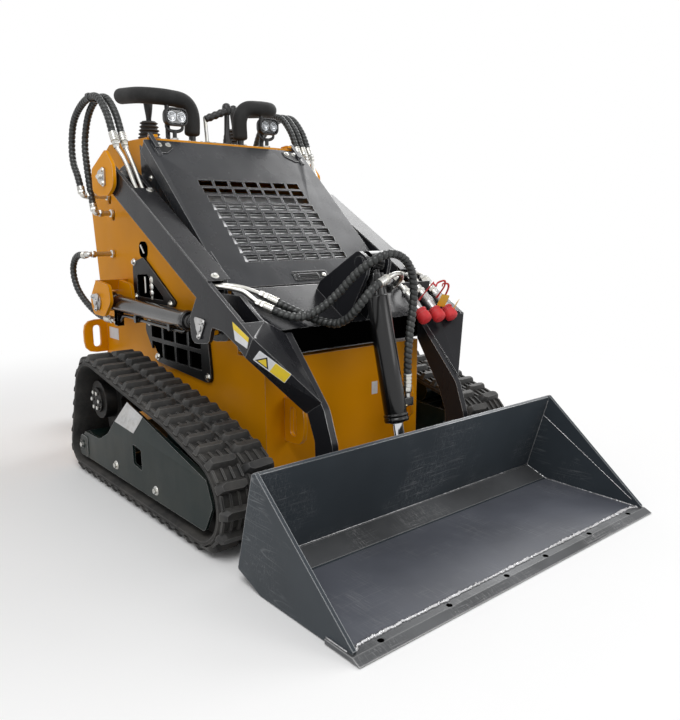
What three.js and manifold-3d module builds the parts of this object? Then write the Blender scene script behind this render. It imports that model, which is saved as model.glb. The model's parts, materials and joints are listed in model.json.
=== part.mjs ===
// Compact stand-on loader on two rubber tracks, with radial lift arms and a bucket.
// Millimetres, +Z up. The bucket points toward -Y and the machine's left side is toward +X.
// Every side-view place below is a pair [y, z]; SIDES names the two sides by the sign of their X.
import * as THREE from "three";
import { mergeVertices } from "three/addons/utils/BufferGeometryUtils.js";
import { ConvexGeometry } from "three/addons/geometries/ConvexGeometry.js";
import Module from "manifold-3d";

const wasm = await Module();
wasm.setup();

// ---------------------------------------------------------------- driving dimensions

const GAP = 0.3;
const SIDES = [
  { tag: "R", sign: -1 },
  { tag: "L", sign: 1 },
];

const BODY = { half: 300, front: -313, rear: 785, floor: 110, sheet: 10 };
const NOSE = { shelf: 455, back: -178 };
const CONSOLE = { front: 343, top: 1098, knee: 640, rear: 860, rearTop: 985, shin: 400 };
const HOOD = { half: 316, foot: [-160, 644], head: [337, 1091], sheet: 4, flange: 6, skirt: 40 };
const HINGE = { near: 262, middle: 277, far: 292, y: 343, z: 1105, pin: 3 };
const GRILLE = { left: -206, right: 200, bottom: 101, top: 485, rows: 10, columns: 7, rib: 9, slant: 5 };
const TRACK = { outer: 562, width: 180, belt: 22, lug: 20, links: 34 };
const ARM = { outer: 403, inner: 330, plate: 12, boss: 54 };
const LEG = { outer: 265, inner: 245 };
const BUCKET = { half: 560, plate: 10, tip: -1007, edgeHalf: 566, edgeBack: -900, floor: 12 };
const LAMP = { x: 186, y: 343, z: 1172, half: 41, high: 29, deep: 42 };
const PLATFORM = { half: 250, reach: 250, top: 215, deck: 16, lip: 22, clear: 22 };

// Pins that run across the machine.
const PIVOT = [431, 973];
const LIFT_BASE = [556, 554];
const LIFT_EYE = [-151, 539];
const TILT_BASE = [-417, 718];
const TILT_EYE = [-556, 150];
const BUCKET_PIN = [-480, 60];
const PLATFORM_PIN = [850, 195];

// Wheels inside each track, front to rear along the ground and back over the top.
// r is the radius of the belt's inner line round that wheel.
const IDLER = { y: -376, z: 141, r: 99 };
const TAIL_ROLLER = { y: 430, z: 88, r: 46 };
const SPROCKET = { y: 300, z: 268, r: 108 };
const CARRIER = { y: -200, z: 246, r: 45 };
const BELT_WHEELS = [IDLER, TAIL_ROLLER, SPROCKET, CARRIER];

// The middle of the overall length, which becomes Y = 0.
const PLATFORM_REAR = PLATFORM_PIN[0] + PLATFORM.reach;
const MIDDLE = (BUCKET.tip + PLATFORM_REAR) / 2;

// ---------------------------------------------------------------- finishes

const FINISH = {
  yellow: { color: 0xd98a06, roughness: 0.35, metalness: 0.1 },
  black: { color: 0x15171a, roughness: 0.3, metalness: 0.2 },
  graphite: { color: 0x2c3133, roughness: 0.4, metalness: 0.3 },
  slate: { color: 0x3b4347, roughness: 0.45, metalness: 0.3 },
  rubber: { color: 0x2a2a2a, roughness: 0.85, metalness: 0.0 },
  foam: { color: 0x101010, roughness: 0.9, metalness: 0.0 },
  steel: { color: 0xb9bcc0, roughness: 0.25, metalness: 1.0 },
  iron: { color: 0x4a4c4e, roughness: 0.6, metalness: 0.7 },
  lens: { color: 0xdfe6ea, roughness: 0.1, metalness: 0.0 },
};

// ---------------------------------------------------------------- shape helpers

const X_AXIS = new THREE.Vector3(1, 0, 0);
const Y_AXIS = new THREE.Vector3(0, 1, 0);
const Z_AXIS = new THREE.Vector3(0, 0, 1);
// Side outlines (y, z) grow along +X; front outlines (x, z) grow along -Y.
const FROM_SIDE = new THREE.Matrix4().makeBasis(Y_AXIS, Z_AXIS, X_AXIS);
const FROM_FRONT = new THREE.Matrix4().makeBasis(X_AXIS, Z_AXIS, Y_AXIS.clone().negate());

// A closed outline through corners [u, v, rounding].
function outline(corners) {
  const shape = new THREE.Shape();
  const places = corners.map(([u, v]) => new THREE.Vector2(u, v));
  corners.forEach(([, , rounding = 0], index) => {
    const here = places[index];
    const toBefore = places.at(index - 1).clone().sub(here);
    const toAfter = places[(index + 1) % places.length].clone().sub(here);
    const room = 0.49 * Math.min(toBefore.length(), toAfter.length());
    toBefore.normalize();
    toAfter.normalize();
    const halfAngle = Math.acos(THREE.MathUtils.clamp(toBefore.dot(toAfter), -1, 1)) / 2;
    const reach = Math.min(room, rounding / Math.tan(halfAngle));
    const start = here.clone().addScaledVector(toBefore, reach);
    const end = here.clone().addScaledVector(toAfter, reach);
    if (index === 0) shape.moveTo(start.x, start.y);
    else shape.lineTo(start.x, start.y);
    if (rounding > 0) shape.quadraticCurveTo(here.x, here.y, end.x, end.y);
  });
  return shape;
}

function disc([u, v], radius) {
  const shape = new THREE.Shape();
  shape.absarc(u, v, radius, 0, 2 * Math.PI);
  return shape;
}

function extruded(shape, depth, basis, steps = 3) {
  const options = { depth, bevelEnabled: false, curveSegments: steps };
  return new THREE.ExtrudeGeometry(shape, options).applyMatrix4(basis);
}

// A closed mesh as a manifold-3d solid.
function solid(geometry) {
  const bare = geometry.clone();
  bare.deleteAttribute("normal");
  bare.deleteAttribute("uv");
  const merged = mergeVertices(bare, 1e-4);
  return new wasm.Manifold(
    new wasm.Mesh({
      numProp: 3,
      vertProperties: Float32Array.from(merged.attributes.position.array),
      triVerts: Uint32Array.from(merged.index.array),
    }),
  );
}

function fuse(...pieces) {
  return pieces.flat(Infinity).reduce((whole, piece) => whole.add(piece));
}

function cut(whole, ...tools) {
  return tools.flat(Infinity).reduce((rest, tool) => rest.subtract(tool), whole);
}

// A side outline grown between two X places, in either order.
function slab(corners, xA, xB) {
  const shape = corners instanceof THREE.Shape ? corners : outline(corners);
  const from = Math.min(xA, xB);
  return solid(extruded(shape, Math.abs(xB - xA), FROM_SIDE).translate(from, 0, 0));
}

// A front outline (x, z) grown between two Y places.
function wall(corners, yA, yB) {
  const shape = corners instanceof THREE.Shape ? corners : outline(corners);
  return solid(extruded(shape, Math.abs(yB - yA), FROM_FRONT).translate(0, Math.max(yA, yB), 0));
}

function box([xA, xB], [yA, yB], [zA, zB]) {
  const geometry = new THREE.BoxGeometry(Math.abs(xB - xA), Math.abs(yB - yA), Math.abs(zB - zA));
  return solid(geometry.translate((xA + xB) / 2, (yA + yB) / 2, (zA + zB) / 2));
}

// A straight round bar between two points.
function bar(from, to, radius, sides = 12) {
  const a = new THREE.Vector3(...from);
  const b = new THREE.Vector3(...to);
  const turn = new THREE.Quaternion().setFromUnitVectors(Y_AXIS, b.clone().sub(a).normalize());
  const geometry = new THREE.CylinderGeometry(radius, radius, a.distanceTo(b), sides);
  return solid(geometry.applyQuaternion(turn).translate(...a.add(b).multiplyScalar(0.5)));
}

// A round bar across the machine at a side place.
function axle([y, z], xA, xB, radius, sides = 16) {
  return bar([Math.min(xA, xB), y, z], [Math.max(xA, xB), y, z], radius, sides);
}

// A turned piece whose profile is a list of [radius, distance] along a line between two points.
function turned(profile, from, to, sides = 14) {
  const a = new THREE.Vector3(...from);
  const direction = new THREE.Vector3(...to).sub(a).normalize();
  const turn = new THREE.Quaternion().setFromUnitVectors(Y_AXIS, direction);
  const points = profile.map(([radius, along]) => new THREE.Vector2(radius, along));
  return solid(new THREE.LatheGeometry(points, sides).applyQuaternion(turn).translate(...a));
}

// A round tube that follows a smooth curve through points.
function tubeAlong(points, radius, steps, sides = 8) {
  const path = new THREE.CatmullRomCurve3(points.map((place) => new THREE.Vector3(...place)));
  const section = disc([0, 0], radius);
  const options = { steps, extrudePath: path, curveSegments: sides / 2, bevelEnabled: false };
  return solid(new THREE.ExtrudeGeometry(section, options));
}

// A convex block through its corner points.
function hullOf(points) {
  return solid(new ConvexGeometry(points.map((place) => new THREE.Vector3(...place))));
}

const loader = new THREE.Group();
const model = new THREE.Group();
model.position.y = -MIDDLE;
loader.add(model);

// Adds one finished sub-part under its own name. place moves it from the frame it was drawn in.
function addPart(name, body, finish, place = (geometry) => geometry) {
  const { vertProperties, triVerts } = body.getMesh();
  const geometry = new THREE.BufferGeometry();
  geometry.setAttribute("position", new THREE.BufferAttribute(vertProperties, 3));
  geometry.setIndex(new THREE.BufferAttribute(triVerts, 1));
  place(geometry);
  geometry.computeVertexNormals();
  const mesh = new THREE.Mesh(geometry, new THREE.MeshStandardMaterial(FINISH[finish]));
  mesh.name = name;
  model.add(mesh);
}

// ---------------------------------------------------------------- tracks

// The belt's inner line: a string drawn tight round its wheels, as runs and arcs in turn.
function beltRuns() {
  const normals = BELT_WHEELS.map((wheel, index) => {
    const next = BELT_WHEELS[(index + 1) % BELT_WHEELS.length];
    const along = new THREE.Vector2(next.y - wheel.y, next.z - wheel.z);
    const lean = (wheel.r - next.r) / along.length();
    along.normalize();
    const right = new THREE.Vector2(along.y, -along.x);
    return along.multiplyScalar(lean).addScaledVector(right, Math.sqrt(1 - lean * lean));
  });
  const runs = [];
  BELT_WHEELS.forEach((wheel, index) => {
    const arrive = normals.at(index - 1);
    const leave = normals[index];
    const next = BELT_WHEELS[(index + 1) % BELT_WHEELS.length];
    const start = Math.atan2(arrive.y, arrive.x);
    const turn = (Math.atan2(leave.y, leave.x) - start + 2 * Math.PI) % (2 * Math.PI);
    runs.push({
      length: turn * wheel.r,
      at: (share) => {
        const normal = new THREE.Vector2(1, 0).rotateAround(new THREE.Vector2(), start + turn * share);
        return { normal, y: wheel.y + normal.x * wheel.r, z: wheel.z + normal.y * wheel.r };
      },
    });
    const from = new THREE.Vector2(wheel.y, wheel.z).addScaledVector(leave, wheel.r);
    const to = new THREE.Vector2(next.y, next.z).addScaledVector(leave, next.r);
    runs.push({
      length: from.distanceTo(to),
      at: (share) => {
        const place = from.clone().lerp(to, share);
        return { normal: leave, y: place.x, z: place.y };
      },
    });
  });
  return runs;
}

const BELT_RUNS = beltRuns();
const BELT_LENGTH = BELT_RUNS.reduce((sum, run) => sum + run.length, 0);

// The place and outward normal at a distance along the belt's inner line.
function beltAt(distance) {
  let left = ((distance % BELT_LENGTH) + BELT_LENGTH) % BELT_LENGTH;
  const run = BELT_RUNS.find(({ length }) => {
    if (left <= length) return true;
    left -= length;
    return false;
  });
  return run.at(left / run.length);
}

// A closed line that lies outside the inner line by an offset, with short steps on the arcs.
function beltOutline(offset) {
  const ARC_STEP = 0.28;
  const shape = new THREE.Path();
  const corners = BELT_RUNS.flatMap((run, index) => {
    if (index % 2 === 1) return [];
    const steps = Math.max(2, Math.ceil(run.length / BELT_WHEELS[index / 2].r / ARC_STEP));
    return Array.from({ length: steps + 1 }, (_, step) => run.at(step / steps));
  });
  return shape.setFromPoints(
    corners.map(({ normal, y, z }) => new THREE.Vector2(y + normal.x * offset, z + normal.y * offset)),
  );
}

// One tread block with leaning sides, its foot sunk a little into the belt.
function treadBlock(distance, x) {
  const FOOT = { along: 36, across: 84, top: 0.68, sink: 1 };
  const geometry = new THREE.BoxGeometry(FOOT.across, FOOT.along, TRACK.lug + FOOT.sink);
  const corners = geometry.attributes.position;
  for (let index = 0; index < corners.count; index += 1) {
    if (corners.getZ(index) < 0) continue;
    corners.setX(index, corners.getX(index) * ((FOOT.top + 1) / 2));
    corners.setY(index, corners.getY(index) * FOOT.top);
  }
  const { normal, y, z } = beltAt(distance);
  const up = new THREE.Vector3(0, normal.x, normal.y);
  const along = new THREE.Vector3().crossVectors(up, X_AXIS);
  const lift = TRACK.belt + (TRACK.lug - FOOT.sink) / 2;
  const basis = new THREE.Matrix4().makeBasis(X_AXIS, along, up);
  basis.setPosition(x, y + normal.x * lift, z + normal.y * lift);
  return solid(geometry.applyMatrix4(basis));
}

// A belt with two rows of tread blocks that are half a link apart.
function track(sign) {
  const middle = sign * (TRACK.outer - TRACK.width / 2);
  const rowOffset = TRACK.width / 4;
  const ring = new THREE.Shape(beltOutline(TRACK.belt).getPoints());
  ring.holes.push(beltOutline(0));
  const belt = slab(ring, middle - TRACK.width / 2, middle + TRACK.width / 2);
  const pitch = BELT_LENGTH / TRACK.links;
  const blocks = [];
  for (let link = 0; link < TRACK.links; link += 1) {
    blocks.push(treadBlock(link * pitch, middle - rowOffset));
    blocks.push(treadBlock((link + 0.5) * pitch, middle + rowOffset));
  }
  return fuse(belt, blocks);
}

// ---------------------------------------------------------------- track frames

const SKIRT = { outer: TRACK.outer - 10, thick: 8, inner: TRACK.outer - TRACK.width + 10, beamBack: 46 };
const ROLLER = { half: TRACK.width / 2 - 42, radius: 38, axle: 16 };
const ROLLER_PLACES = [275, 146, 17, -112, -240];
const HUB = { y: 405, z: 98, radius: 46 };

// The skirt plate that hides the rollers, hollowed round the sprocket.
function skirtOutline() {
  return [
    [-404, 63, 20],
    [HUB.y, 60, 20],
    [HUB.y + 32, 98, 26],
    [385, 146, 12],
    [262, 149, 20],
    [190, 184, 30],
    [132, 236],
    [-421, 203, 8],
    [-448, 140, 20],
  ];
}

function roller([y, z], radius, sign) {
  const middle = sign * (TRACK.outer - TRACK.width / 2);
  return axle([y, z], middle - ROLLER.half, middle + ROLLER.half, radius, 12);
}

function trackFrame(sign) {
  const outer = sign * SKIRT.outer;
  const inner = sign * SKIRT.inner;
  const skirts = [
    slab(skirtOutline(), outer, outer - sign * SKIRT.thick),
    slab(skirtOutline(), inner, inner + sign * SKIRT.thick),
  ];
  const slotCorners = [[10, 194, 8], [8, 134, 8], [-50, 126, 8], [-48, 188, 8]];
  const slot = slab(slotCorners, outer + sign, outer - sign * (SKIRT.thick + 1));
  const beam = slab([[-250, 150], [170, 150], [120, 225], [-250, 205]], inner, outer - sign * SKIRT.beamBack);
  const rollerPlaces = ROLLER_PLACES.map((y) => [y, ROLLER.radius + GAP + TRACK.belt + TRACK.lug]);
  const rollers = rollerPlaces.map((place) => roller(place, ROLLER.radius, sign));
  const axles = [...rollerPlaces, [IDLER.y, IDLER.z]];
  const lean = hullOf([
    [outer, 132, 236],
    [outer, -421, 203],
    [outer - sign * SKIRT.thick, 132, 232],
    [outer - sign * SKIRT.thick, -421, 199],
    [outer - sign * 26, 90, 300],
    [outer - sign * 34, 90, 296],
    [outer - sign * 14, -400, 212],
    [outer - sign * 20, -400, 206],
  ]);
  const tail = [TAIL_ROLLER.y, TAIL_ROLLER.z];
  const plates = cut(fuse(skirts, lean), slot);
  return fuse(
    plates,
    beam,
    rollers,
    axles.map((place) => axle(place, inner, outer, ROLLER.axle, 6)),
    roller(tail, TAIL_ROLLER.r - GAP * 2, sign),
    axle([HUB.y, HUB.z], inner, outer + sign * 6, 14),
    axle(tail, inner, outer - sign * 2, ROLLER.axle),
    roller([CARRIER.y, CARRIER.z], CARRIER.r - GAP * 2, sign),
    box([inner + sign * 60, inner + sign * 90], [CARRIER.y - 20, CARRIER.y + 20], [190, CARRIER.z]),
    [[-190, -110], [80, 160]].map((span) => box([sign * (BODY.half + GAP), inner], span, [130, 190])),
  );
}

function idler(sign) {
  const middle = sign * (TRACK.outer - TRACK.width / 2);
  const wheel = roller([IDLER.y, IDLER.z], IDLER.r - GAP * 3, sign);
  const groove = cut(
    axle([IDLER.y, IDLER.z], middle - 22, middle + 22, IDLER.r + 10),
    axle([IDLER.y, IDLER.z], middle - 23, middle + 23, IDLER.r - 22),
  );
  const bore = axle([IDLER.y, IDLER.z], middle - 60, middle + 60, ROLLER.axle + 0.9);
  return cut(wheel, groove, bore);
}

function sprocket(sign) {
  const TEETH = 9;
  const ROOT = 0.8;
  const shape = new THREE.Shape();
  for (let tooth = 0; tooth < TEETH; tooth += 1) {
    [[-0.3, ROOT], [-0.16, 1], [0.16, 1], [0.3, ROOT]].forEach(([turn, share], index) => {
      const angle = ((tooth + turn) / TEETH) * 2 * Math.PI;
      const radius = (SPROCKET.r - 3) * share;
      const place = [SPROCKET.y + radius * Math.cos(angle), SPROCKET.z + radius * Math.sin(angle)];
      if (tooth === 0 && index === 0) shape.moveTo(...place);
      else shape.lineTo(...place);
    });
  }
  const middle = sign * (TRACK.outer - TRACK.width / 2);
  const centre = [SPROCKET.y, SPROCKET.z];
  return fuse(
    slab(shape, middle - 20, middle + 20),
    axle(centre, sign * (BODY.half + GAP), sign * 530, 62),
    axle(centre, sign * 500, sign * 538, 40),
  );
}

// ---------------------------------------------------------------- body and console

function bodyShell() {
  const outside = [
    [BODY.front, BODY.floor, 14],
    [BODY.front, NOSE.shelf],
    [NOSE.back, NOSE.shelf],
    [NOSE.back, 616],
    [CONSOLE.front, 1078],
    [CONSOLE.front, CONSOLE.top],
    [CONSOLE.knee, CONSOLE.top, 20],
    [CONSOLE.rear, CONSOLE.rearTop, 20],
    [BODY.rear, CONSOLE.shin, 60],
    [BODY.rear, BODY.floor, 14],
  ];
  const t = BODY.sheet;
  const inside = [
    [BODY.front + t, BODY.floor + t, 8],
    [BODY.front + t, NOSE.shelf - t],
    [NOSE.back + t, NOSE.shelf - t],
    [NOSE.back + t, 600],
    [NOSE.back - 80, 700],
    [200, 1100],
    [CONSOLE.front + t, CONSOLE.top - 25],
    [CONSOLE.front + t, CONSOLE.top - t],
    [CONSOLE.knee, CONSOLE.top - t],
    [CONSOLE.rear - t, CONSOLE.rearTop - t],
    [BODY.rear - t, CONSOLE.shin, 60],
    [BODY.rear - t, BODY.floor + t, 8],
  ];
  const [pinY, pinZ] = PLATFORM_PIN;
  const ear = [
    [BODY.rear - 1, pinZ - 26],
    [pinY + 14, pinZ - 14, 12],
    [pinY + 14, pinZ + 14, 12],
    [BODY.rear - 1, pinZ + 14],
  ];
  const hinge = [-1, 1].map((sign) => slab(ear, sign * 205, sign * 217));
  const shell = cut(
    slab(outside, -BODY.half, BODY.half),
    slab(inside, -BODY.half + t, BODY.half - t),
  );
  return cut(fuse(shell, hinge, hoodHinges(), tieRings()), axle(PLATFORM_PIN, -230, 230, 9), sideSlots());
}

// Slots in both side walls, one row each: lowest and highest y, lowest and highest z.
const SIDE_SLOTS = [[386, 408, 694, 756], [656, 682, 893, 931], [632, 658, 834, 872]];
const SLOT_ROUND = 11;

function sideSlots() {
  const wall = (sign) => [sign * (BODY.half - BODY.sheet - 1), sign * (BODY.half + 1)];
  return [-1, 1].map((sign) =>
    SIDE_SLOTS.map(([y0, y1, z0, z1]) => {
      const corners = [[y0, z0], [y1, z0], [y1, z1], [y0, z1]].map((corner) => [...corner, SLOT_ROUND]);
      return slab(corners, ...wall(sign));
    }),
  );
}

// The fixed halves of the hood's hinges, at the front edge of the console's deck.
function hoodHinges() {
  const { front, top } = CONSOLE;
  const block = [[front + 4, top - 1], [front + 40, top - 1], [front + 40, top + 9], [front + 8, top + 12, 6],
    [front - 7, top + 11, 4], [front - 7, top + 2]];
  return [-1, 1].map((sign) => [
    slab(block, sign * HINGE.near, sign * (HINGE.middle - GAP)),
    axle([HINGE.y, HINGE.z], sign * HINGE.near, sign * HINGE.far, HINGE.pin, 8),
  ]);
}

// Tie-down rings: plates with a rounded outer end and a long slot. One pair stands out of the
// front face, the other pair out of the side faces at the rear.
const RING = {
  reach: 90,
  tall: 126,
  thick: 12,
  slotFrom: 26,
  slotWide: 30,
  slotTall: 84,
  z: 281,
  rearZ: 400,
};

// The ring's outline and slot, with u measured outward from the face at a given place.
function ringPlate(face, out, z) {
  const half = RING.tall / 2;
  const at = (distance) => face + out * distance;
  const round = RING.slotWide / 2;
  const plate = outline([
    [at(-1), z - half],
    [at(RING.reach), z - half, 44],
    [at(RING.reach), z + half, 44],
    [at(-1), z + half],
  ]);
  const slot = outline(
    [[0, -1], [1, -1], [1, 1], [0, 1]].map(([wide, tall]) => [
      at(RING.slotFrom + wide * RING.slotWide),
      z + (tall * RING.slotTall) / 2,
      round,
    ]),
  );
  return { plate, slot };
}

function tieRings() {
  const front = ringPlate(BODY.front, -1, RING.z);
  const half = RING.thick / 2;
  const frontRing = (x) => cut(slab(front.plate, x - half, x + half), slab(front.slot, x - 20, x + 20));
  const rings = [-230, 190].map(frontRing);
  const y = BODY.rear - RING.thick;
  const sides = [-1, 1].map((sign) => {
    const side = ringPlate(sign * BODY.half, sign, RING.rearZ);
    return cut(wall(side.plate, y, y + RING.thick), wall(side.slot, y - 20, y + 30));
  });
  return [...rings, ...sides];
}

function engineBlock() {
  const floor = BODY.floor + BODY.sheet + GAP;
  return box([-210, 210], [110, 620], [floor, 640]);
}

// The cooler lies under the hood, parallel to it, and spans the engine bay.
function coolerCore() {
  const half = BODY.half - BODY.sheet - GAP;
  const core = new THREE.BoxGeometry(2 * half, 400, 55);
  core.translate(0, 300, -95);
  return solid(onHood(core));
}

// ---------------------------------------------------------------- hood

const HOOD_LEAN = Math.atan2(HOOD.head[1] - HOOD.foot[1], HOOD.head[0] - HOOD.foot[0]);
const HOOD_LENGTH = Math.hypot(HOOD.head[1] - HOOD.foot[1], HOOD.head[0] - HOOD.foot[0]);

// Moves a shape from the flat hood (x across, y up the slope, z out of it) to its place.
function onHood(geometry) {
  return geometry.rotateX(HOOD_LEAN).translate(0, ...HOOD.foot);
}

function hood() {
  const flat = (corners, depth, z) => {
    const options = { depth, bevelEnabled: false, curveSegments: 4 };
    return solid(new THREE.ExtrudeGeometry(outline(corners), options).translate(0, 0, z));
  };
  const rim = (xA, xB, yA, yB, depth) =>
    flat([[xA, yA], [xB, yA], [xB, yB], [xA, yB]], depth, -depth);
  const { half, flange, skirt, sheet } = HOOD;
  const panelCorners = [[-half, 0, 12], [half, 0, 12], [half, HOOD_LENGTH, 12], [-half, HOOD_LENGTH, 12]];
  const panel = flat(panelCorners, sheet, -sheet);
  return fuse(
    cut(panel, grilleHoles(flat)),
    rim(-half, -half + flange, 12, HOOD_LENGTH - 12, skirt),
    rim(half - flange, half, 12, HOOD_LENGTH - 12, skirt),
    rim(-half + 12, half - 12, 0, flange, 7),
    [-1, 1].map((sign) => hingeLeaf(flat, sign)),
  );
}

// The hood's half of one hinge: a flat leaf on the panel that rises to the knuckle.
function hingeLeaf(flat, sign) {
  const near = sign * (HINGE.middle + GAP);
  const far = sign * HINGE.far;
  const offset = new THREE.Vector2(HINGE.y - HOOD.foot[0], HINGE.z - HOOD.foot[1]);
  const pin = offset.rotateAround(new THREE.Vector2(), -HOOD_LEAN);
  const strip = (from, to, depth, z) => flat([[near, from], [far, from], [far, to], [near, to]], depth, z);
  const knuckle = strip(HOOD_LENGTH - 50, pin.x + 7, 9, pin.y - 4);
  const bore = axle([pin.x, pin.y], sign * (HINGE.near), sign * (HINGE.far + 10), HINGE.pin + 0.4);
  return cut(fuse(strip(HOOD_LENGTH - 80, HOOD_LENGTH - 20, 6, -1), knuckle), bore);
}

// Rows of slanted openings in the upper part of the hood.
function grilleHoles(flat) {
  const { left, right, bottom, top, rows, columns, rib, slant } = GRILLE;
  const wide = (right - left) / columns;
  const high = (top - bottom) / rows;
  const holes = [];
  for (let row = 0; row < rows; row += 1) {
    for (let column = 0; column < columns; column += 1) {
      const x = left + column * wide;
      const y = bottom + row * high;
      const [across, up] = [x + wide - rib, y + high - rib];
      const corners = [[x, y], [across, y], [across + slant, up], [x + slant, up]];
      holes.push(flat(corners, 2 * HOOD.sheet, -1.5 * HOOD.sheet));
    }
  }
  return holes;
}

// ---------------------------------------------------------------- arms

const CROSS = { front: -363, rear: -201, top: 644, drop: 101, foot: 475 };
// The arm steps inward between its box and its leg.
const ELBOW = { shoulder: [-417, 542], heel: [-379, 487], knee: [-520, 372], hollow: [-452, 330] };

function armOutline() {
  return [
    [404, 1020, 20],
    [-200, 670],
    [...ELBOW.shoulder],
    [...ELBOW.heel],
    [-300, 540, 20],
    [-215, 548, 16],
    [-196, 500, 24],
    [-100, 488, 30],
    [-92, 560, 16],
    [-135, 622],
    [402, 922, 20],
    [470, 940, 30],
    [485, 1000, 30],
  ];
}

function legOutline() {
  return [
    [CROSS.front - GAP, 470, 10],
    [CROSS.front - GAP, 536],
    [-527, 356, 60],
    [-562, 262, 60],
    [-560, 150, 60],
    [-520, 40, 20],
    [-480, 22, 20],
    [-444, 40, 20],
    [-448, 90, 40],
    [-492, 170, 40],
    [-488, 262, 40],
    [-458, 330, 30],
  ];
}

// Where the pipes leave the arm's channel through its inner plate.
const PIPE_NOTCH = { along: [-266, -184], tall: [632, 720] };

function liftArm(sign) {
  const outer = sign * ARM.outer;
  const inner = sign * ARM.inner;
  const outerPlate = slab(armOutline(), outer, outer - sign * ARM.plate);
  const innerPlate = slab(
    [...armOutline().slice(0, 2), [CROSS.front + 3, 574], [CROSS.front + 3, 500], ...armOutline().slice(4)],
    inner,
    inner + sign * ARM.plate,
  );
  const web = slab([[340, 900], [340, 910], [-150, 642], [-150, 630]], outer, inner);
  const shoulderWeb = slab([[-230, 560], [-370, 500], [-370, 512], [-230, 572]], outer, inner);
  const { shoulder, heel, knee, hollow } = ELBOW;
  const legOuter = sign * LEG.outer;
  const elbow = hullOf([
    [outer, ...shoulder],
    [outer, ...heel],
    [inner, CROSS.front - GAP, 574],
    [inner, CROSS.front - GAP, 500],
    [outer, CROSS.front - GAP, 574],
    [outer, CROSS.front - GAP, 500],
    [legOuter, CROSS.front - GAP, 536],
    [legOuter, CROSS.front - GAP, 480],
    [legOuter, ...knee],
    [legOuter, ...hollow],
  ]);
  const leg = slab(legOutline(), legOuter, sign * LEG.inner);
  const joined = fuse(outerPlate, innerPlate, web, shoulderWeb, elbow, leg);
  const notchWide = [inner - sign * GAP, inner + sign * (ARM.plate + GAP)];
  const pipeNotch = box(notchWide, PIPE_NOTCH.along, PIPE_NOTCH.tall);
  return cut(
    joined,
    pipeNotch,
    axle(PIVOT, inner - sign * 20, outer + sign * 20, 22.8),
    axle(BUCKET_PIN, sign * 200, sign * 300, 18.8),
  );
}

function crossMember() {
  const half = ARM.inner - GAP;
  const beam = slab(
    [
      [CROSS.rear, CROSS.top],
      [CROSS.front, CROSS.top - CROSS.drop],
      [CROSS.front, CROSS.foot],
      [CROSS.rear - 30, CROSS.foot],
      [CROSS.rear, 520],
    ],
    -half,
    half,
  );
  const cheek = [
    [-215, 625],
    [-235, 655, 20],
    [TILT_BASE[0] + 10, TILT_BASE[1] + 34, 24],
    [TILT_BASE[0] - 36, TILT_BASE[1] + 10, 24],
    [TILT_BASE[0] - 24, TILT_BASE[1] - 36, 16],
    [-355, 540],
  ];
  return fuse(
    beam,
    [-1, 1].map((sign) => slab(cheek, sign * 33, sign * 44)),
    axle(TILT_BASE, -50, 50, 18),
  );
}

function armCover(sign) {
  const lift = GAP;
  const corners = [[247, 929 + lift], [-200, 670 + lift], [-200, 674 + lift], [247, 933 + lift]];
  return slab(corners, sign * ARM.outer, sign * ARM.inner);
}

// ---------------------------------------------------------------- cylinders

const LIFT = { tube: 28, rod: 16, width: 34, neck: 16, start: 56, gland: 581, eye: 26, base: 32 };
const TILT = { tube: 28, rod: 17, width: 40, neck: 19, start: 36, gland: 453, eye: 20, base: 31 };

// A cylinder's tube with its base eye, bored for the rod.
function cylinderTube(x, base, eye, size, pinRadius) {
  const from = [x, ...base];
  const to = [x, ...eye];
  const tube = turned(
    [
      [0, size.base - 10],
      [size.neck, size.base - 10],
      [size.neck, size.start],
      [size.tube, size.start],
      [size.tube, size.gland - 18],
      [size.tube + 3, size.gland - 18],
      [size.tube + 3, size.gland],
      [size.rod + 0.6, size.gland],
      [size.rod + 0.6, size.start + 6],
      [0, size.start + 6],
    ],
    from,
    to,
  );
  const eyeBoss = axle(base, x - size.width / 2, x + size.width / 2, size.base);
  return cut(fuse(tube, eyeBoss), axle(base, x - size.width, x + size.width, pinRadius + 0.6));
}

function cylinderRod(x, base, eye, size) {
  const from = new THREE.Vector2(...base);
  const to = new THREE.Vector2(...eye);
  const along = to.clone().sub(from).normalize();
  const start = from.clone().addScaledVector(along, size.start + 38);
  const shaft = bar([x, start.x, start.y], [x, to.x, to.y], size.rod);
  const ring = axle(eye, x - size.width / 2, x + size.width / 2, size.eye);
  return cut(fuse(shaft, ring), axle(eye, x - size.width, x + size.width, size.eye * 0.55));
}

// ---------------------------------------------------------------- tower pieces on the body

function towerEar(sign) {
  const face = sign * 420;
  const plate = slab(
    [
      [396, 1056, 10],
      [344, 1006, 20],
      [342, 940, 40],
      [395, 912, 40],
      [470, 912, 40],
      [516, 930, 16],
      [516, 1001, 16],
    ],
    face,
    face - sign * 12,
  );
  const web = box([face - sign * 6, sign * (BODY.half + GAP)], [502, 514], [925, 985]);
  return cut(fuse(plate, web), axle(PIVOT, face + sign * 10, face - sign * 30, 22.3));
}

function pivotPin(sign) {
  const face = sign * 420;
  return fuse(
    axle(PIVOT, sign * (BODY.half + GAP), face + sign * 8, 22),
    slab(
      [
        [PIVOT[0] - 34, PIVOT[1] + 30, 8],
        [PIVOT[0] - 30, PIVOT[1] - 34, 8],
        [PIVOT[0] + 30, PIVOT[1] + 2, 8],
      ],
      face + sign * GAP,
      face + sign * 6,
    ),
  );
}

// The lift cylinders' distance from the machine's middle.
const LIFT_X = (ARM.outer + ARM.inner) / 2;
const CLEVIS = { outer: ARM.outer + 9, inner: ARM.inner - 9, plate: 12 };

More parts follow.
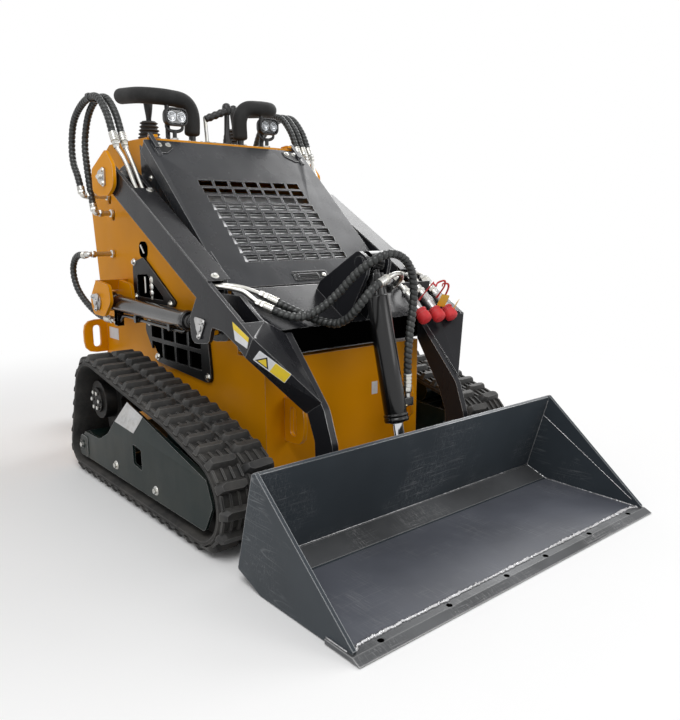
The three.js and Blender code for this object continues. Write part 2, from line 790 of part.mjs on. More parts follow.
// The yellow bracket that carries the lift cylinder's base: two cheeks, a gusset above the eye
// and a back plate behind it, all welded to the body's side.
function liftBracket(sign) {
  const [y, z] = LIFT_BASE;
  const cheek = [
    [y + 10, z + 75, 10],
    [y + 72, z + 6, 34],
    [y + 48, z - 48, 30],
    [y - 48, z - 48, 30],
    [y - 109, z + 6, 30],
    [y - 96, z + 64, 20],
  ];
  const gusset = [[y - 4, z + 75], [y + 10, z + 38], [y + 24, z + 38], [y + 14, z + 75]];
  const { outer, inner, plate } = CLEVIS;
  const body = sign * (BODY.half + GAP);
  const joined = fuse(
    slab(cheek, sign * outer, sign * (outer - plate)),
    slab(cheek, sign * inner, sign * (inner + plate)),
    slab(gusset, sign * outer, body),
    box([sign * outer, body], [y + 40, y + 50], [z - 40, z + 30]),
  );
  return cut(joined, axle(LIFT_BASE, sign * 290, sign * 430, 20.3));
}

function liftPin(sign) {
  return fuse(
    axle(LIFT_BASE, sign * CLEVIS.inner, sign * (CLEVIS.outer + 8), 20),
    axle(LIFT_BASE, sign * (CLEVIS.outer + GAP), sign * (CLEVIS.outer + 6), 30),
  );
}

function sideGrille(sign) {
  const face = sign * (BODY.half + GAP);
  const frame = [
    [405, 462, 30],
    [330, 362, 30],
    [-40, 342, 30],
    [-25, 470, 30],
    [0, 512, 10],
    [395, 505, 20],
  ];
  const holes = [];
  [[470, 14], [404, 12]].forEach(([z, shrink]) => {
    for (let column = 0; column < 4; column += 1) {
      const y = 20 + column * 88;
      holes.push(slab([[y, z - 26], [y + 76, z - 26], [y + 76, z + 26], [y, z + 26]],
        face - sign * shrink, face + sign * shrink));
    }
  });
  return cut(slab(frame, face, face + sign * 10), holes);
}

function sideWindow(sign) {
  const face = sign * (BODY.half + GAP);
  const frame = [[487, 560, 10], [487, 690, 30], [400, 712, 30], [175, 575, 10], [190, 560, 10]];
  const hole = [[455, 575, 10], [455, 650, 10], [375, 655, 10], [260, 585, 10], [262, 575, 6]];
  return cut(slab(frame, face, face + sign * 8), slab(hole, face - sign * 2, face + sign * 10));
}

// ---------------------------------------------------------------- controls

function handGuard(sign) {
  const x = (distance) => sign * distance;
  const path = [
    [x(98), 406, 1120],
    [x(98), 406, 1195],
    [x(125), 406, 1232],
    [x(180), 406, 1240],
    [x(235), 418, 1242],
    [x(262), 470, 1248],
    [x(264), 550, 1256],
    [x(262), 620, 1262],
  ];
  const leg = axleUp(x(98), 406, CONSOLE.top + GAP, 1130, 12);
  const brace = axleUp(x(190), 406, CONSOLE.top + GAP, 1238, 8);
  return fuse(tubeAlong(path, 27, 16, 8), leg, brace);
}

function axleUp(x, y, from, to, radius) {
  return bar([x, y, from], [x, y, to], radius, 12);
}

function joystick(sign) {
  const x = sign * 177;
  const y = 575;
  const base = CONSOLE.top + GAP;
  return fuse(
    box([x - 42, x + 42], [y - 42, y + 42], [base, base + 12]),
    turned(
      [[0, 10], [38, 10], [40, 20], [34, 30], [38, 40], [31, 50], [35, 60], [28, 70], [22, 82], [0, 82]],
      [x, y, base],
      [x, y, base + 100],
      12,
    ),
    turned(
      [[0, 70], [9, 70], [12, 110], [17, 130], [16, 160], [9, 172], [0, 174]],
      [x, y, base],
      [x, y, base + 100],
      10,
    ),
  );
}

function workLamp(sign) {
  const { x, y, z, half, high, deep } = LAMP;
  const centre = sign * x;
  const oval = (margin) => {
    const wide = half - margin;
    const tall = high - margin;
    const round = tall * 0.9;
    return [
      [centre - wide, z - tall, round],
      [centre + wide, z - tall, round],
      [centre + wide, z + tall, round],
      [centre - wide, z + tall, round],
    ];
  };
  const housing = cut(wall(oval(0), y, y + deep), wall(oval(6), y - 1, y + 10));
  const reflectorAt = (x) => bar([x, y + 4, z], [x, y + 12, z], 15, 12);
  const reflectors = [-18, 18].map((offset) => reflectorAt(centre + offset));
  const foot = box([centre - 14, centre + 14], [y + 16, y + 26], [CONSOLE.top + GAP, z - high + 4]);
  return fuse(housing, reflectors, foot);
}

function throttleLevers() {
  const base = CONSOLE.top + GAP;
  return fuse(
    box([-60, 60], [390, 430], [base, base + 8]),
    bar([-38, 410, base + 4], [-44, 410, base + 92], 7, 10),
    bar([-46, 408, base + 84], [34, 396, base + 118], 14, 14),
    bar([44, 410, base + 4], [46, 410, base + 118], 7, 10),
    turned([[0, 0], [13, 0], [17, 14], [14, 36], [0, 40]], [46, 410, base + 108], [46, 410, base + 200], 14),
  );
}

function thighPad() {
  const lean = Math.atan2(CONSOLE.rear - BODY.rear, CONSOLE.rearTop - CONSOLE.shin);
  const shape = outline([[-230, 0, 30], [230, 0, 30], [230, 220, 30], [-230, 220, 30]]);
  const pad = extruded(shape, 45, FROM_FRONT).translate(0, 45 + 2 * GAP, 0).rotateX(-lean);
  const foot = CONSOLE.rearTop - 300;
  const place = BODY.rear + (foot - CONSOLE.shin) * Math.tan(lean);
  return solid(pad.translate(0, place, foot));
}

function standPlatform() {
  const { half, top, deck, lip, clear } = PLATFORM;
  const [pinY, pinZ] = PLATFORM_PIN;
  const front = pinY + clear;
  const rear = PLATFORM_REAR;
  const side = [
    [front, top - deck],
    [rear, top - deck],
    [rear, top + lip],
    [front + 40, top + lip],
    [front, top],
  ];
  const ear = [[front + 60, top - deck + 1], [pinY - 12, pinZ + 13, 10], [pinY - 12, pinZ - 13, 10],
    [front + 20, top - deck - 34], [front + 130, top - deck + 1]];
  const tray = fuse(
    box([-half, half], [front, rear], [top - deck, top]),
    box([-half, half], [rear - 6, rear], [top - deck, top + lip]),
    [-1, 1].map((sign) => [
      slab(side, sign * half, sign * (half - 6)),
      slab(ear, sign * 204.5, sign * 192),
    ]),
  );
  return fuse(tray, axle(PLATFORM_PIN, -222, 222, 8.4));
}

// ---------------------------------------------------------------- bucket

const BACK = {
  top: [-655, 283],
  lowIn: [-583, 40],
  floorIn: [-662, 12],
  lowOut: [-570, 32],
  topOut: [-644, 286],
};

function bucketShell() {
  const { half, plate, floor, edgeBack } = BUCKET;
  const lip = [[edgeBack - GAP, floor], [edgeBack - GAP, 0]];
  const sheet = [BACK.top, BACK.lowIn, BACK.floorIn, ...lip, [-664, 0], BACK.lowOut, BACK.topOut];
  const cheek = [
    [-652, 289, 8],
    [-640, 283, 6],
    [BACK.lowOut[0], BACK.lowOut[1], 6],
    [-664, 0],
    [edgeBack + 2, 0],
    [edgeBack + 2, floor + GAP],
    [-979, floor + GAP],
    [-981, floor + GAP + 6],
  ];
  return fuse(
    slab(sheet.map(([y, z]) => [y, z]), -half + 1, half - 1),
    [-1, 1].map((sign) => slab(cheek, sign * half, sign * (half - plate))),
  );
}

function cuttingEdge() {
  const { edgeHalf, edgeBack, tip, floor } = BUCKET;
  const rear = edgeBack - 2 * GAP;
  const section = [[rear, 0], [rear, floor], [tip + 22, floor], [tip, 2], [tip, 0]];
  return slab(section, -edgeHalf, edgeHalf);
}

// The coupler hangs the bucket on the legs' pins and takes the tilt rod.
function couplerFrame() {
  const lean = new THREE.Vector2(...BACK.lowOut).sub(new THREE.Vector2(...BACK.topOut)).normalize();
  const out = new THREE.Vector2(-lean.y, lean.x);
  const along = (distance, depth) => {
    const place = new THREE.Vector2(...BACK.lowOut);
    place.addScaledVector(lean, -distance).addScaledVector(out, depth);
    return [place.x, place.y];
  };
  const THICK = 16;
  const plate = slab([along(10, 0.4), along(180, 0.4), along(180, THICK), along(10, THICK)], -238, 238);
  const window = slab([along(60, -1), along(158, -1), along(158, THICK + 1), along(60, THICK + 1)], -24, 24);
  const ear = (pin, from, to) => [
    along(from, THICK - 1),
    along(to, THICK - 1),
    [pin[0] + 8, pin[1] + 30, 20],
    [pin[0] + 32, pin[1] - 4, 20],
    [pin[0] - 4, pin[1] - 32, 20],
  ];
  const body = fuse(
    cut(plate, window),
    [-1, 1].map((sign) => slab(ear(BUCKET_PIN, 12, 92), sign * 222, sign * 238)),
    [-1, 1].map((sign) => slab(ear(TILT_EYE, 30, 178), sign * 24, sign * 36)),
    [-1, 1].map((sign) => axle(TILT_EYE, sign * 30, sign * 46, 17)),
  );
  return cut(body, axle(BUCKET_PIN, -260, -200, 18.3), axle(BUCKET_PIN, 200, 260, 18.3));
}

function bucketPin(sign) {
  return fuse(
    axle(BUCKET_PIN, sign * 214, sign * 276, 18),
    axle(BUCKET_PIN, sign * 266, sign * 276, 26),
  );
}

// ---------------------------------------------------------------- hydraulic lines

// Radii of hoses, pipes and their ends, and half the width of a port block.
const LINE = { hose: 12, pipe: 7, ferrule: 13, nut: 11, block: 12 };
const LINE_CLAMP = { half: 8, tall: 6 };

function hose(points, steps) {
  return tubeAlong(points, LINE.hose, steps, 8);
}

function pipe(points, steps) {
  return tubeAlong(points, LINE.pipe, steps, 6);
}

function onSide(points, sign) {
  return points.map(([x, y, z]) => [sign * x, y, z]);
}

// Hoses over the arm's pivot, one row each: the distance from the machine's middle at the body's
// fitting and at the arm's, the fitting's place on the body, and how far back the loop reaches.
const PIVOT_HOSES = {
  R: [
    { low: 398, high: 392, fitting: [671, 920], back: 744 },
    { low: 368, high: 362, fitting: [645, 860], back: 698 },
  ],
  L: [
    { low: 400, high: 396, fitting: [671, 920], back: 744 },
    { low: 371, high: 368, fitting: [645, 860], back: 712 },
    { low: 342, high: 340, fitting: [655, 800], back: 684 },
  ],
};
const HOSE_TOP = { y: 391, z: 1110, apex: 1238, apexY: 560 };

function hoseLoop({ low, high, fitting: [y, z], back }) {
  const middle = (low + high) / 2;
  const { apex, apexY } = HOSE_TOP;
  return [
    [low, y + 8, z + 22],
    [low, y + (back - y) * 0.45, z + 70],
    [low, back - 8, 1040],
    [middle, back, 1105],
    [middle, back - 34, 1175],
    [middle, (back - 34 + apexY) / 2 + 2, apex - 20],
    [high, apexY, apex],
    [high, 488, apex - 10],
    [high, 428, apex - 64],
    [high, HOSE_TOP.y, HOSE_TOP.z],
  ];
}

// The hoses of one side with their elbows on the body, held together by a clamp at the top.
function pivotHoses(tag, sign) {
  const rows = PIVOT_HOSES[tag];
  const hoses = rows.map((row) => {
    const [y, z] = row.fitting;
    const x = sign * row.low;
    return [
      hose(onSide(hoseLoop(row), sign), 11),
      bar([sign * (BODY.half + GAP), y, z], [x, y, z], LINE.nut, 8),
      bar([x, y - 5, z - 14], [x, y + 11, z + 30], LINE.ferrule, 8),
    ];
  });
  const { half, tall } = LINE_CLAMP;
  const { apex, apexY } = HOSE_TOP;
  const wide = [sign * (rows.at(-1).high - half), sign * (rows[0].high + half)];
  return fuse(hoses, box(wide, [apexY - half, apexY + half], [apex - tall, apex + tall]));
}

// Steel pipes in each arm's channel: their distance from the middle, and their way out at its foot.
const ARM_PIPES = {
  R: [
    {
      x: 378,
      out: [
        [378, -198, 657],
        [368, -214, 655],
        [344, -232, 650],
        [322, -250, 642],
        [311, -274, 626],
        [300, -296, 610],
      ],
      ferrule: [276, -326, 594],
    },
    {
      x: 356,
      out: [[356, -192, 660], [344, -208, 657], [318, -224, 652], [290, -240, 642], [262, -258, 628]],
      ferrule: [234, -288, 608],
    },
  ],
  L: [
    { x: 382, out: [[382, -204, 657], [368, -224, 656], [344, -242, 658], [334, -262, 662]] },
    { x: 366, out: [[366, -198, 659], [350, -214, 657], [316, -232, 657], [284, -252, 660]] },
    { x: 350, out: [[350, -190, 662], [334, -200, 659], [294, -216, 657], [226, -246, 660]] },
  ],
};
const PIPE_IN_CHANNEL = [[330, 1010], [250, 910], [190, 868], [20, 769], [-150, 676]];
const PIPE_CLAMPS = [[150, 845], [-60, 725]];

// Quick couplers on the left arm's foot. They point forward and down through an upright plate.
const COUPLERS = { places: [332, 276, 213], y: -334, z: 624, rear: 35, tip: 125, radius: 15, cap: 42 };
const COUPLER_LEAN = [-0.74, -0.673];
const COUPLER_PLATE = { from: 206, half: 4, above: 20 };

function couplerAt(x, distance) {
  return [x, COUPLERS.y + COUPLER_LEAN[0] * distance, COUPLERS.z + COUPLER_LEAN[1] * distance];
}

function armLines(tag, sign) {
  const pipes = ARM_PIPES[tag].map(({ x, out, ferrule }, index) => {
    const { high } = PIVOT_HOSES[tag][index];
    const run = [[high, 365, 1065], ...PIPE_IN_CHANNEL.map((place) => [x, ...place]), ...out];
    const ends = [[[high, HOSE_TOP.y, HOSE_TOP.z - GAP], [high, 362, 1060]]];
    if (ferrule) {
      ends.push([run.at(-1), ferrule]);
    } else {
      const at = COUPLERS.places[index];
      run.push(couplerAt(at, -COUPLERS.rear - 18), couplerAt(at, -COUPLERS.rear - 3 * GAP));
    }
    const ferrules = ends.map((pair) => bar(...onSide(pair, sign), LINE.ferrule, 8));
    return [pipe(onSide(run, sign), 13), ferrules];
  });
  const { half, tall } = LINE_CLAMP;
  const wide = [sign * (ARM.inner + ARM.plate + GAP), sign * (ARM_PIPES[tag][0].x + tall)];
  const clamps = PIPE_CLAMPS.map(([y, z]) => box(wide, [y - half, y + half], [z - tall, z + tall]));
  return fuse(pipes, clamps);
}

// The couplers with their caps, and the plate that carries them on the cross member.
function quickCouplers() {
  const { places, y, z, rear, tip, radius, cap } = COUPLERS;
  const { from, half, above } = COUPLER_PLATE;
  const slope = CROSS.drop / (CROSS.rear - CROSS.front);
  const floor = (at) => CROSS.top - (CROSS.rear - at) * slope + GAP;
  const corners = [
    [y + half, floor(y + half)],
    [y - half, floor(y - half)],
    [y - half, z + above],
    [y + half, z + above],
  ];
  const capFrom = rear + tip - cap;
  const profile = [
    [0, 0],
    [10, 0],
    [10, 12],
    [radius, 12],
    [radius, capFrom],
    [radius + 4, capFrom],
    [radius + 6, rear + tip],
    [0, rear + tip],
  ];
  const couplers = places.map((x) => turned(profile, couplerAt(x, -rear), couplerAt(x, tip), 10));
  return fuse(slab(corners, from, ARM.inner - 2 * GAP), couplers);
}

// Two hoses from the right arm's pipes to the tilt cylinder.
const TILT_HOSES = {
  lower: [
    [-275.7, -326.3, 593.8],
    [-256, -350, 582],
    [-228, -370, 576],
    [-192, -380, 582],
    [-155, -394, 603],
    [-122, -418, 640],
    [-94, -450, 686],
    [-60, -486, 726],
    [-14, -505, 744],
    [34, -508, 730],
    [66, -507, 694],
    [78, -506, 645],
    [76, -506, 590],
    [64, -508, 530],
    [54, -512, 465],
    [52, -513, 400],
  ],
  upper: [
    [-233.7, -288.3, 607.8],
    [-210, -314, 592],
    [-184, -346, 574],
    [-156, -382, 560],
    [-136, -420, 555],
    [-125, -454, 570],
    [-118, -479, 593],
    [-108, -496, 618],
    [-93, -505, 641],
    [-74, -507, 657],
    [-50, -506, 668],
  ],
};
const TILT_PORTS = { rodEnd: [52, -513, 325], baseEnd: [-22, -505, 679] };

function tiltHoseLower() {
  const [x, y, z] = TILT_PORTS.rodEnd;
  const top = TILT_HOSES.lower.at(-1)[2];
  return fuse(hose(TILT_HOSES.lower, 14), bar([x, y, top], [x, y, z + LINE.block + GAP], LINE.ferrule, 8));
}

function tiltHoseUpper() {
  const end = TILT_HOSES.upper.at(-1);
  return fuse(hose(TILT_HOSES.upper, 8), bar(end, TILT_PORTS.baseEnd, LINE.ferrule, 8));
}

// The tilt cylinder's port block near the gland, and the pipe that runs round its base end to a
// block on its side.
const TILT_PIPE = [
  [6, -503, 688],
  [36, -495, 686],
  [56, -477, 673],
  [60, -457, 657],
  [55, -445, 645],
  [42, -443, 641],
];

function tiltPorts() {
  const [x, y, z] = TILT_PORTS.rodEnd;
  const { block } = LINE;
  const [startX, startY, startZ] = TILT_PORTS.baseEnd;
  const [, endY, endZ] = TILT_PIPE.at(-1);
  const reach = TILT.tube - block + 4;
  const rodBlock = box([reach, x + block + 2], [y - block, y + block], [z - block, z + block]);
  const half = block - 3;
  const baseWide = [reach, TILT.tube + block + 6];
  const baseBlock = box(baseWide, [endY - half, endY + half], [endZ - block, endZ + block]);
  return fuse(rodBlock, baseBlock, pipe([[startX + 2 * GAP, startY, startZ + GAP], ...TILT_PIPE], 8));
}

// Hoses from the body's side to the lift cylinder's base port.
const LIFT_HOSE = {
  fitting: [659, 715],
  reach: 396,
  port: [490, 487],
  path: [[400, 700, 711], [402, 736, 710], [404, 771, 694], [406, 792, 660], [404, 792, 618], [400, 768, 576],
    [390, 720, 534], [376, 660, 500], [366, 600, 487]],
};

function liftHose(sign) {
  const { fitting: [y, z], reach, port: [portY, portZ], path } = LIFT_HOSE;
  const middle = sign * LIFT_X;
  return fuse(
    hose(onSide(path, sign), 8),
    bar([sign * (BODY.half + GAP), y, z], [sign * reach, y, z], LINE.nut, 8),
    bar([sign * reach, y - 8, z + 2], [sign * path[0][0], path[0][1] + 4, path[0][2] - 1], LINE.ferrule, 8),
    bar([middle, path.at(-1)[1] + 4, portZ], [middle, portY + LINE.block + GAP, portZ], LINE.ferrule, 8),
  );
}

function liftPort(sign) {
  const [y, z] = LIFT_HOSE.port;
  const { block } = LINE;
  const x = sign * LIFT_X;
  return box([x - block, x + block], [y - block, y + block], [z - block - 2, LIFT_BASE[1] - 24]);
}

// ---------------------------------------------------------------- assembly

addPart("body_shell", bodyShell(), "yellow");
addPart("engine", engineBlock(), "iron");
addPart("cooler", coolerCore(), "steel");
addPart("hood", hood(), "graphite", onHood);
addPart("throttle_levers", throttleLevers(), "foam");
addPart("thigh_pad", thighPad(), "foam");
addPart("stand_platform", standPlatform(), "graphite");
addPart("cross_member", crossMember(), "black");
addPart("tilt_tube", fuse(cylinderTube(0, TILT_BASE, TILT_EYE, TILT, 18), tiltPorts()), "black");
addPart("tilt_rod", cylinderRod(0, TILT_BASE, TILT_EYE, TILT), "steel");
addPart("tilt_hose_lower", tiltHoseLower(), "rubber");
addPart("tilt_hose_upper", tiltHoseUpper(), "rubber");
addPart("quick_couplers", quickCouplers(), "steel");
addPart("coupler", couplerFrame(), "slate");
addPart("bucket", bucketShell(), "slate");
addPart("cutting_edge", cuttingEdge(), "slate");

for (const { tag, sign } of SIDES) {
  addPart(`track_${tag}`, track(sign), "rubber");
  addPart(`track_frame_${tag}`, trackFrame(sign), "graphite");
  addPart(`idler_${tag}`, idler(sign), "iron");
  addPart(`sprocket_${tag}`, sprocket(sign), "iron");
  addPart(`tower_ear_${tag}`, towerEar(sign), "yellow");
  addPart(`arm_pivot_pin_${tag}`, pivotPin(sign), "steel");
  addPart(`lift_bracket_${tag}`, liftBracket(sign), "yellow");
  addPart(`lift_base_pin_${tag}`, liftPin(sign), "steel");
  addPart(`side_grille_${tag}`, sideGrille(sign), "black");
  addPart(`side_window_${tag}`, sideWindow(sign), "black");
  addPart(`hand_guard_${tag}`, handGuard(sign), "foam");
  addPart(`joystick_${tag}`, joystick(sign), "black");
  addPart(`work_lamp_${tag}`, workLamp(sign), "lens");
  addPart(`lift_arm_${tag}`, liftArm(sign), "black");
  addPart(`arm_cover_${tag}`, armCover(sign), "black");
  const cylinderX = sign * LIFT_X;
  const liftTube = cylinderTube(cylinderX, LIFT_BASE, LIFT_EYE, LIFT, 20);
  addPart(`lift_tube_${tag}`, fuse(liftTube, liftPort(sign)), "black");
  addPart(`lift_rod_${tag}`, cylinderRod(cylinderX, LIFT_BASE, LIFT_EYE, LIFT), "steel");
  addPart(`pivot_hoses_${tag}`, pivotHoses(tag, sign), "rubber");
  addPart(`lift_hose_${tag}`, liftHose(sign), "rubber");
  addPart(`arm_lines_${tag}`, armLines(tag, sign), "steel");
  addPart(`bucket_pin_${tag}`, bucketPin(sign), "steel");
}

export default loader;
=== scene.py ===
"""Looks of a compact stand-on loader: finishes, hoses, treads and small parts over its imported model.

Lengths are millimetres in the part's drawing frame unless a name says metres. The bucket points
toward -Y, the machine's left side is toward +X, and metres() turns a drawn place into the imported
frame.
"""

import json
import logging
import math
from dataclasses import dataclass, field
from enum import Enum
from typing import Iterable, Sequence

import bmesh
import bpy
import numpy as np
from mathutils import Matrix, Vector


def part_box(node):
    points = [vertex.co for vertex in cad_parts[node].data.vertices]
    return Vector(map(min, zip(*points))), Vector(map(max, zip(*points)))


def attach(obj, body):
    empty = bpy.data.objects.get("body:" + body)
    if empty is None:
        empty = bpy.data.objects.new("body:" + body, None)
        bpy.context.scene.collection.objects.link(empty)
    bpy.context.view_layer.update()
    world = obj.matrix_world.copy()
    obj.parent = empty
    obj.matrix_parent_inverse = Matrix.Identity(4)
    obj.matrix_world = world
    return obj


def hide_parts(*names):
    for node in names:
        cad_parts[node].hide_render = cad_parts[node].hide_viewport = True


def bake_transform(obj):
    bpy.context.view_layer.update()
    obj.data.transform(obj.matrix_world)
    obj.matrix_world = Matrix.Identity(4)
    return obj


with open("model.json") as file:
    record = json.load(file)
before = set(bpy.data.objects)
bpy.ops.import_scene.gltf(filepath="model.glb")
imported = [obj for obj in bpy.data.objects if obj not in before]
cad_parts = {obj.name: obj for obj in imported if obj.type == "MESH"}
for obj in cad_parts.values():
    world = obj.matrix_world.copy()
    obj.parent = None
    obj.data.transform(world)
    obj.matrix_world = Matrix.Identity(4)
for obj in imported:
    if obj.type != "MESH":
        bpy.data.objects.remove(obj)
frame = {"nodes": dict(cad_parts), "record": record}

LOG = logging.getLogger("loader")

Triple = tuple[float, float, float]
Pair = tuple[float, float]
Place = Sequence[float] | np.ndarray
Socket = bpy.types.NodeSocket

MM = 0.001
TIP_Y = -1007.0
SHIFT_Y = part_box("cutting_edge")[0].y / MM - TIP_Y
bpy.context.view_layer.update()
BODY_OF = {node: body for body, nodes in frame["record"]["behaviour"]["bodies"].items() for node in nodes}
FLAT_TO_XZ = np.array([[1, 0, 0], [0, 0, 1], [0, 1, 0]], float)
FLAT_TO_YZ = np.array([[0, 1, 0], [0, 0, 1], [1, 0, 0]], float)
ACROSS, UP = (1, 0, 0), (0, 0, 1)
HOSE, PIPE, FERRULE, NUT = 12.0, 7.0, 13.0, 12.5


class Side(Enum):
    """The machine's two sides, by the sign of their X."""

    RIGHT = -1
    LEFT = 1

    @property
    def tag(self) -> str:
        """The letter that ends the side's node names."""
        return self.name[0]

    @property
    def word(self) -> str:
        """The word that ends the side's body names."""
        return self.name.lower()


# ---------------------------------------------------------------- mesh making


def metres(points: Place) -> np.ndarray:
    """Drawn millimetres, shape (..., 3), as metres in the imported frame."""
    moved = np.array(points, float)
    moved[..., 1] += SHIFT_Y
    return moved * MM


def unit(vector: Place) -> np.ndarray:
    """A vector's direction."""
    return np.asarray(vector, float) / np.linalg.norm(vector)


def square_to(line: np.ndarray) -> np.ndarray:
    """A direction square to a line: its cross product with Z, or with X where it's close to Z."""
    return unit(np.cross(line, (0.0, 0.0, 1.0) if abs(line[2]) < 0.9 else (1.0, 0.0, 0.0)))


def gap(start: Place, end: Place) -> float:
    """The distance between two places."""
    return float(np.linalg.norm(np.asarray(end, float) - np.asarray(start, float)))


def between(start: Place, end: Place, share: float) -> np.ndarray:
    """The place at a share of the way from start to end."""
    return np.asarray(start, float) * (1 - share) + np.asarray(end, float) * share


def length_of(path: np.ndarray) -> float:
    """The length of a path of points."""
    return float(np.linalg.norm(np.diff(path, axis=0), axis=1).sum())


def run_of(path: np.ndarray) -> np.ndarray:
    """The distance along a path at each of its points."""
    return np.concatenate([[0], np.cumsum(np.linalg.norm(np.diff(path, axis=0), axis=1))])


def along(even: np.ndarray, run: np.ndarray, values: np.ndarray) -> np.ndarray:
    """Rows of values known at the distances run, read at other distances."""
    return np.stack([np.interp(even, run, values[:, k]) for k in range(values.shape[1])], -1)


def turns(count: int) -> np.ndarray:
    """Even steps round a full turn."""
    return np.arange(count) * 2 * math.pi / count


def new_object(name: str, vertices: np.ndarray, faces: list, smooth: float = 40.0) -> bpy.types.Object:
    """Puts a drawn shape into a linked object at the origin.

    Args:
        name: The piece's name.
        vertices: Points in drawn millimetres, shape (n, 3).
        faces: Lists of vertex numbers.
        smooth: Edges that turn by more than this many degrees stay sharp.

    Returns:
        The object, with its place in its mesh.
    """
    mesh = bpy.data.meshes.new(name)
    mesh.from_pydata(metres(vertices).tolist(), [], faces)
    mesh.update()
    return linked(name, mesh, smooth)


def linked(name: str, mesh: bpy.types.Mesh, smooth: float) -> bpy.types.Object:
    """A mesh as a linked object, smooth but for edges that turn by more than some degrees."""
    mesh.polygons.foreach_set("use_smooth", np.ones(len(mesh.polygons), bool))
    mesh.set_sharp_from_angle(angle=math.radians(smooth))
    piece = bpy.data.objects.new(name, mesh)
    bpy.context.scene.collection.objects.link(piece)
    return piece


def grid_faces(rows: int, columns: int, wrap_rows: bool, wrap_columns: bool) -> np.ndarray:
    """Quads that join a grid of points, numbered row by row.

    Args:
        rows: Points along the first parameter.
        columns: Points along the second parameter.
        wrap_rows: Joins the last row to the first.
        wrap_columns: Joins the last column to the first.

    Returns:
        An array of vertex numbers, shape (quads, 4).
    """
    spans = (rows if wrap_rows else rows - 1, columns if wrap_columns else columns - 1)
    i, j = np.meshgrid(*map(np.arange, spans), indexing="ij")
    i2, j2 = (i + 1) % rows, (j + 1) % columns
    quads = np.stack([i * columns + j, i2 * columns + j, i2 * columns + j2, i * columns + j2], -1)
    return quads.reshape(-1, 4)


@dataclass
class Shape:
    """A bare mesh in drawn millimetres that can be placed, copied and joined."""

    points: np.ndarray
    faces: list = field(default_factory=list)

    def moved(self, offset: Place) -> "Shape":
        """The same shape, shifted by an offset."""
        return Shape(self.points + np.asarray(offset, float), self.faces)

    def turned(self, basis: np.ndarray) -> "Shape":
        """The same shape with its X, Y and Z laid along a basis's three rows."""
        faces = [face[::-1] for face in self.faces] if np.linalg.det(basis) < 0 else self.faces
        return Shape(self.points @ np.asarray(basis, float), faces)

    def on(self, side: Side) -> "Shape":
        """The shape as drawn for +X, or its mirror image on the right side."""
        return self if side is Side.LEFT else self.turned(np.diag([-1.0, 1.0, 1.0]))


def joined(shapes: Iterable[Shape]) -> Shape:
    """Several shapes as one mesh of separate shells."""
    shapes = list(shapes)
    starts = np.cumsum([0] + [len(shape.points) for shape in shapes[:-1]])
    faces = [[int(v) + int(s) for v in face] for shape, s in zip(shapes, starts) for face in shape.faces]
    return Shape(np.concatenate([shape.points for shape in shapes]), faces)


def lathe(profile: Sequence[Pair], start: Place, end: Place, sides: int = 48) -> Shape:
    """A turned shape: point (i, j) is profile point i swung by j / sides of a turn round the line.

    Args:
        profile: Pairs (radius, distance from start); zero radii at both ends close the shape.
        start: A point on the line, where distance is zero.
        end: A point that gives the line's direction.
        sides: Steps round the line.

    Returns:
        The closed shape.
    """
    axis = unit(np.asarray(end, float) - np.asarray(start, float))
    across, (radius, reach) = square_to(axis), np.array(profile, float).T
    turn = turns(sides)[:, None]
    ring = np.cos(turn) * across + np.sin(turn) * np.cross(axis, across)
    points = np.asarray(start, float) + reach[:, None, None] * axis + radius[:, None, None] * ring
    return Shape(points.reshape(-1, 3), capped(len(radius), sides, False))


def capped(rows: int, sides: int, up: bool) -> list:
    """The faces of a closed stack of rings.

    Args:
        rows: How many rings there are.
        sides: Points in each ring.
        up: True where the rings run counter-clockwise, seen from the last one.

    Returns:
        Quads between the rings, then the last and the first ring as faces.
    """
    low, high = list(range(sides)), [(rows - 1) * sides + k for k in range(sides)]
    quads = grid_faces(rows, sides, False, True)[:, ::-1].tolist()
    return quads + ([high, low[::-1]] if up else [low, high[::-1]])


def rounded(corners: Sequence[Place], steps: int = 6) -> np.ndarray:
    """A closed outline whose corners are turned into arcs.

    Each corner becomes a curve from the point a reach before it to the point a reach after it,
    (1-t)^2 * before + 2t(1-t) * corner + t^2 * after, for t from 0 to 1.

    Args:
        corners: Rows [u, v, radius]; a corner without a radius stays sharp.
        steps: Steps along each arc.

    Returns:
        The outline's points, shape (n, 2).
    """
    places = np.array([corner[:2] for corner in corners], float)
    reach = np.array([corner[2] if len(corner) > 2 else 0.0 for corner in corners], float)
    before, after = np.roll(places, 1, 0) - places, np.roll(places, -1, 0) - places
    room = 0.49 * np.minimum(np.linalg.norm(before, axis=1), np.linalg.norm(after, axis=1))
    before /= np.linalg.norm(before, axis=1)[:, None]
    after /= np.linalg.norm(after, axis=1)[:, None]
    half = np.arccos(np.clip((before * after).sum(1), -0.999, 0.999)) / 2
    reach = np.minimum(reach / np.tan(half), room)[:, None]
    first, last = places + before * reach, places + after * reach
    t = np.linspace(0, 1, steps + 1)[None, :, None]
    arcs = (1 - t) ** 2 * first[:, None] + 2 * t * (1 - t) * places[:, None] + t**2 * last[:, None]
    return np.concatenate([arc if r > 0 else place[None] for arc, r, place in zip(arcs, reach[:, 0], places)])


def corners_of(x: Pair, y: Pair, *radius: float) -> list:
    """A rectangle's corners [x, y] or [x, y, radius], counter-clockwise from the lowest."""
    return [[x[0], y[0], *radius], [x[1], y[0], *radius], [x[1], y[1], *radius], [x[0], y[1], *radius]]


def round_box(x: Pair, y: Pair, radius: float, steps: int = 6) -> np.ndarray:
    """The outline of a round-cornered rectangle between pairs of limits."""
    return rounded(corners_of(x, y, radius), steps)


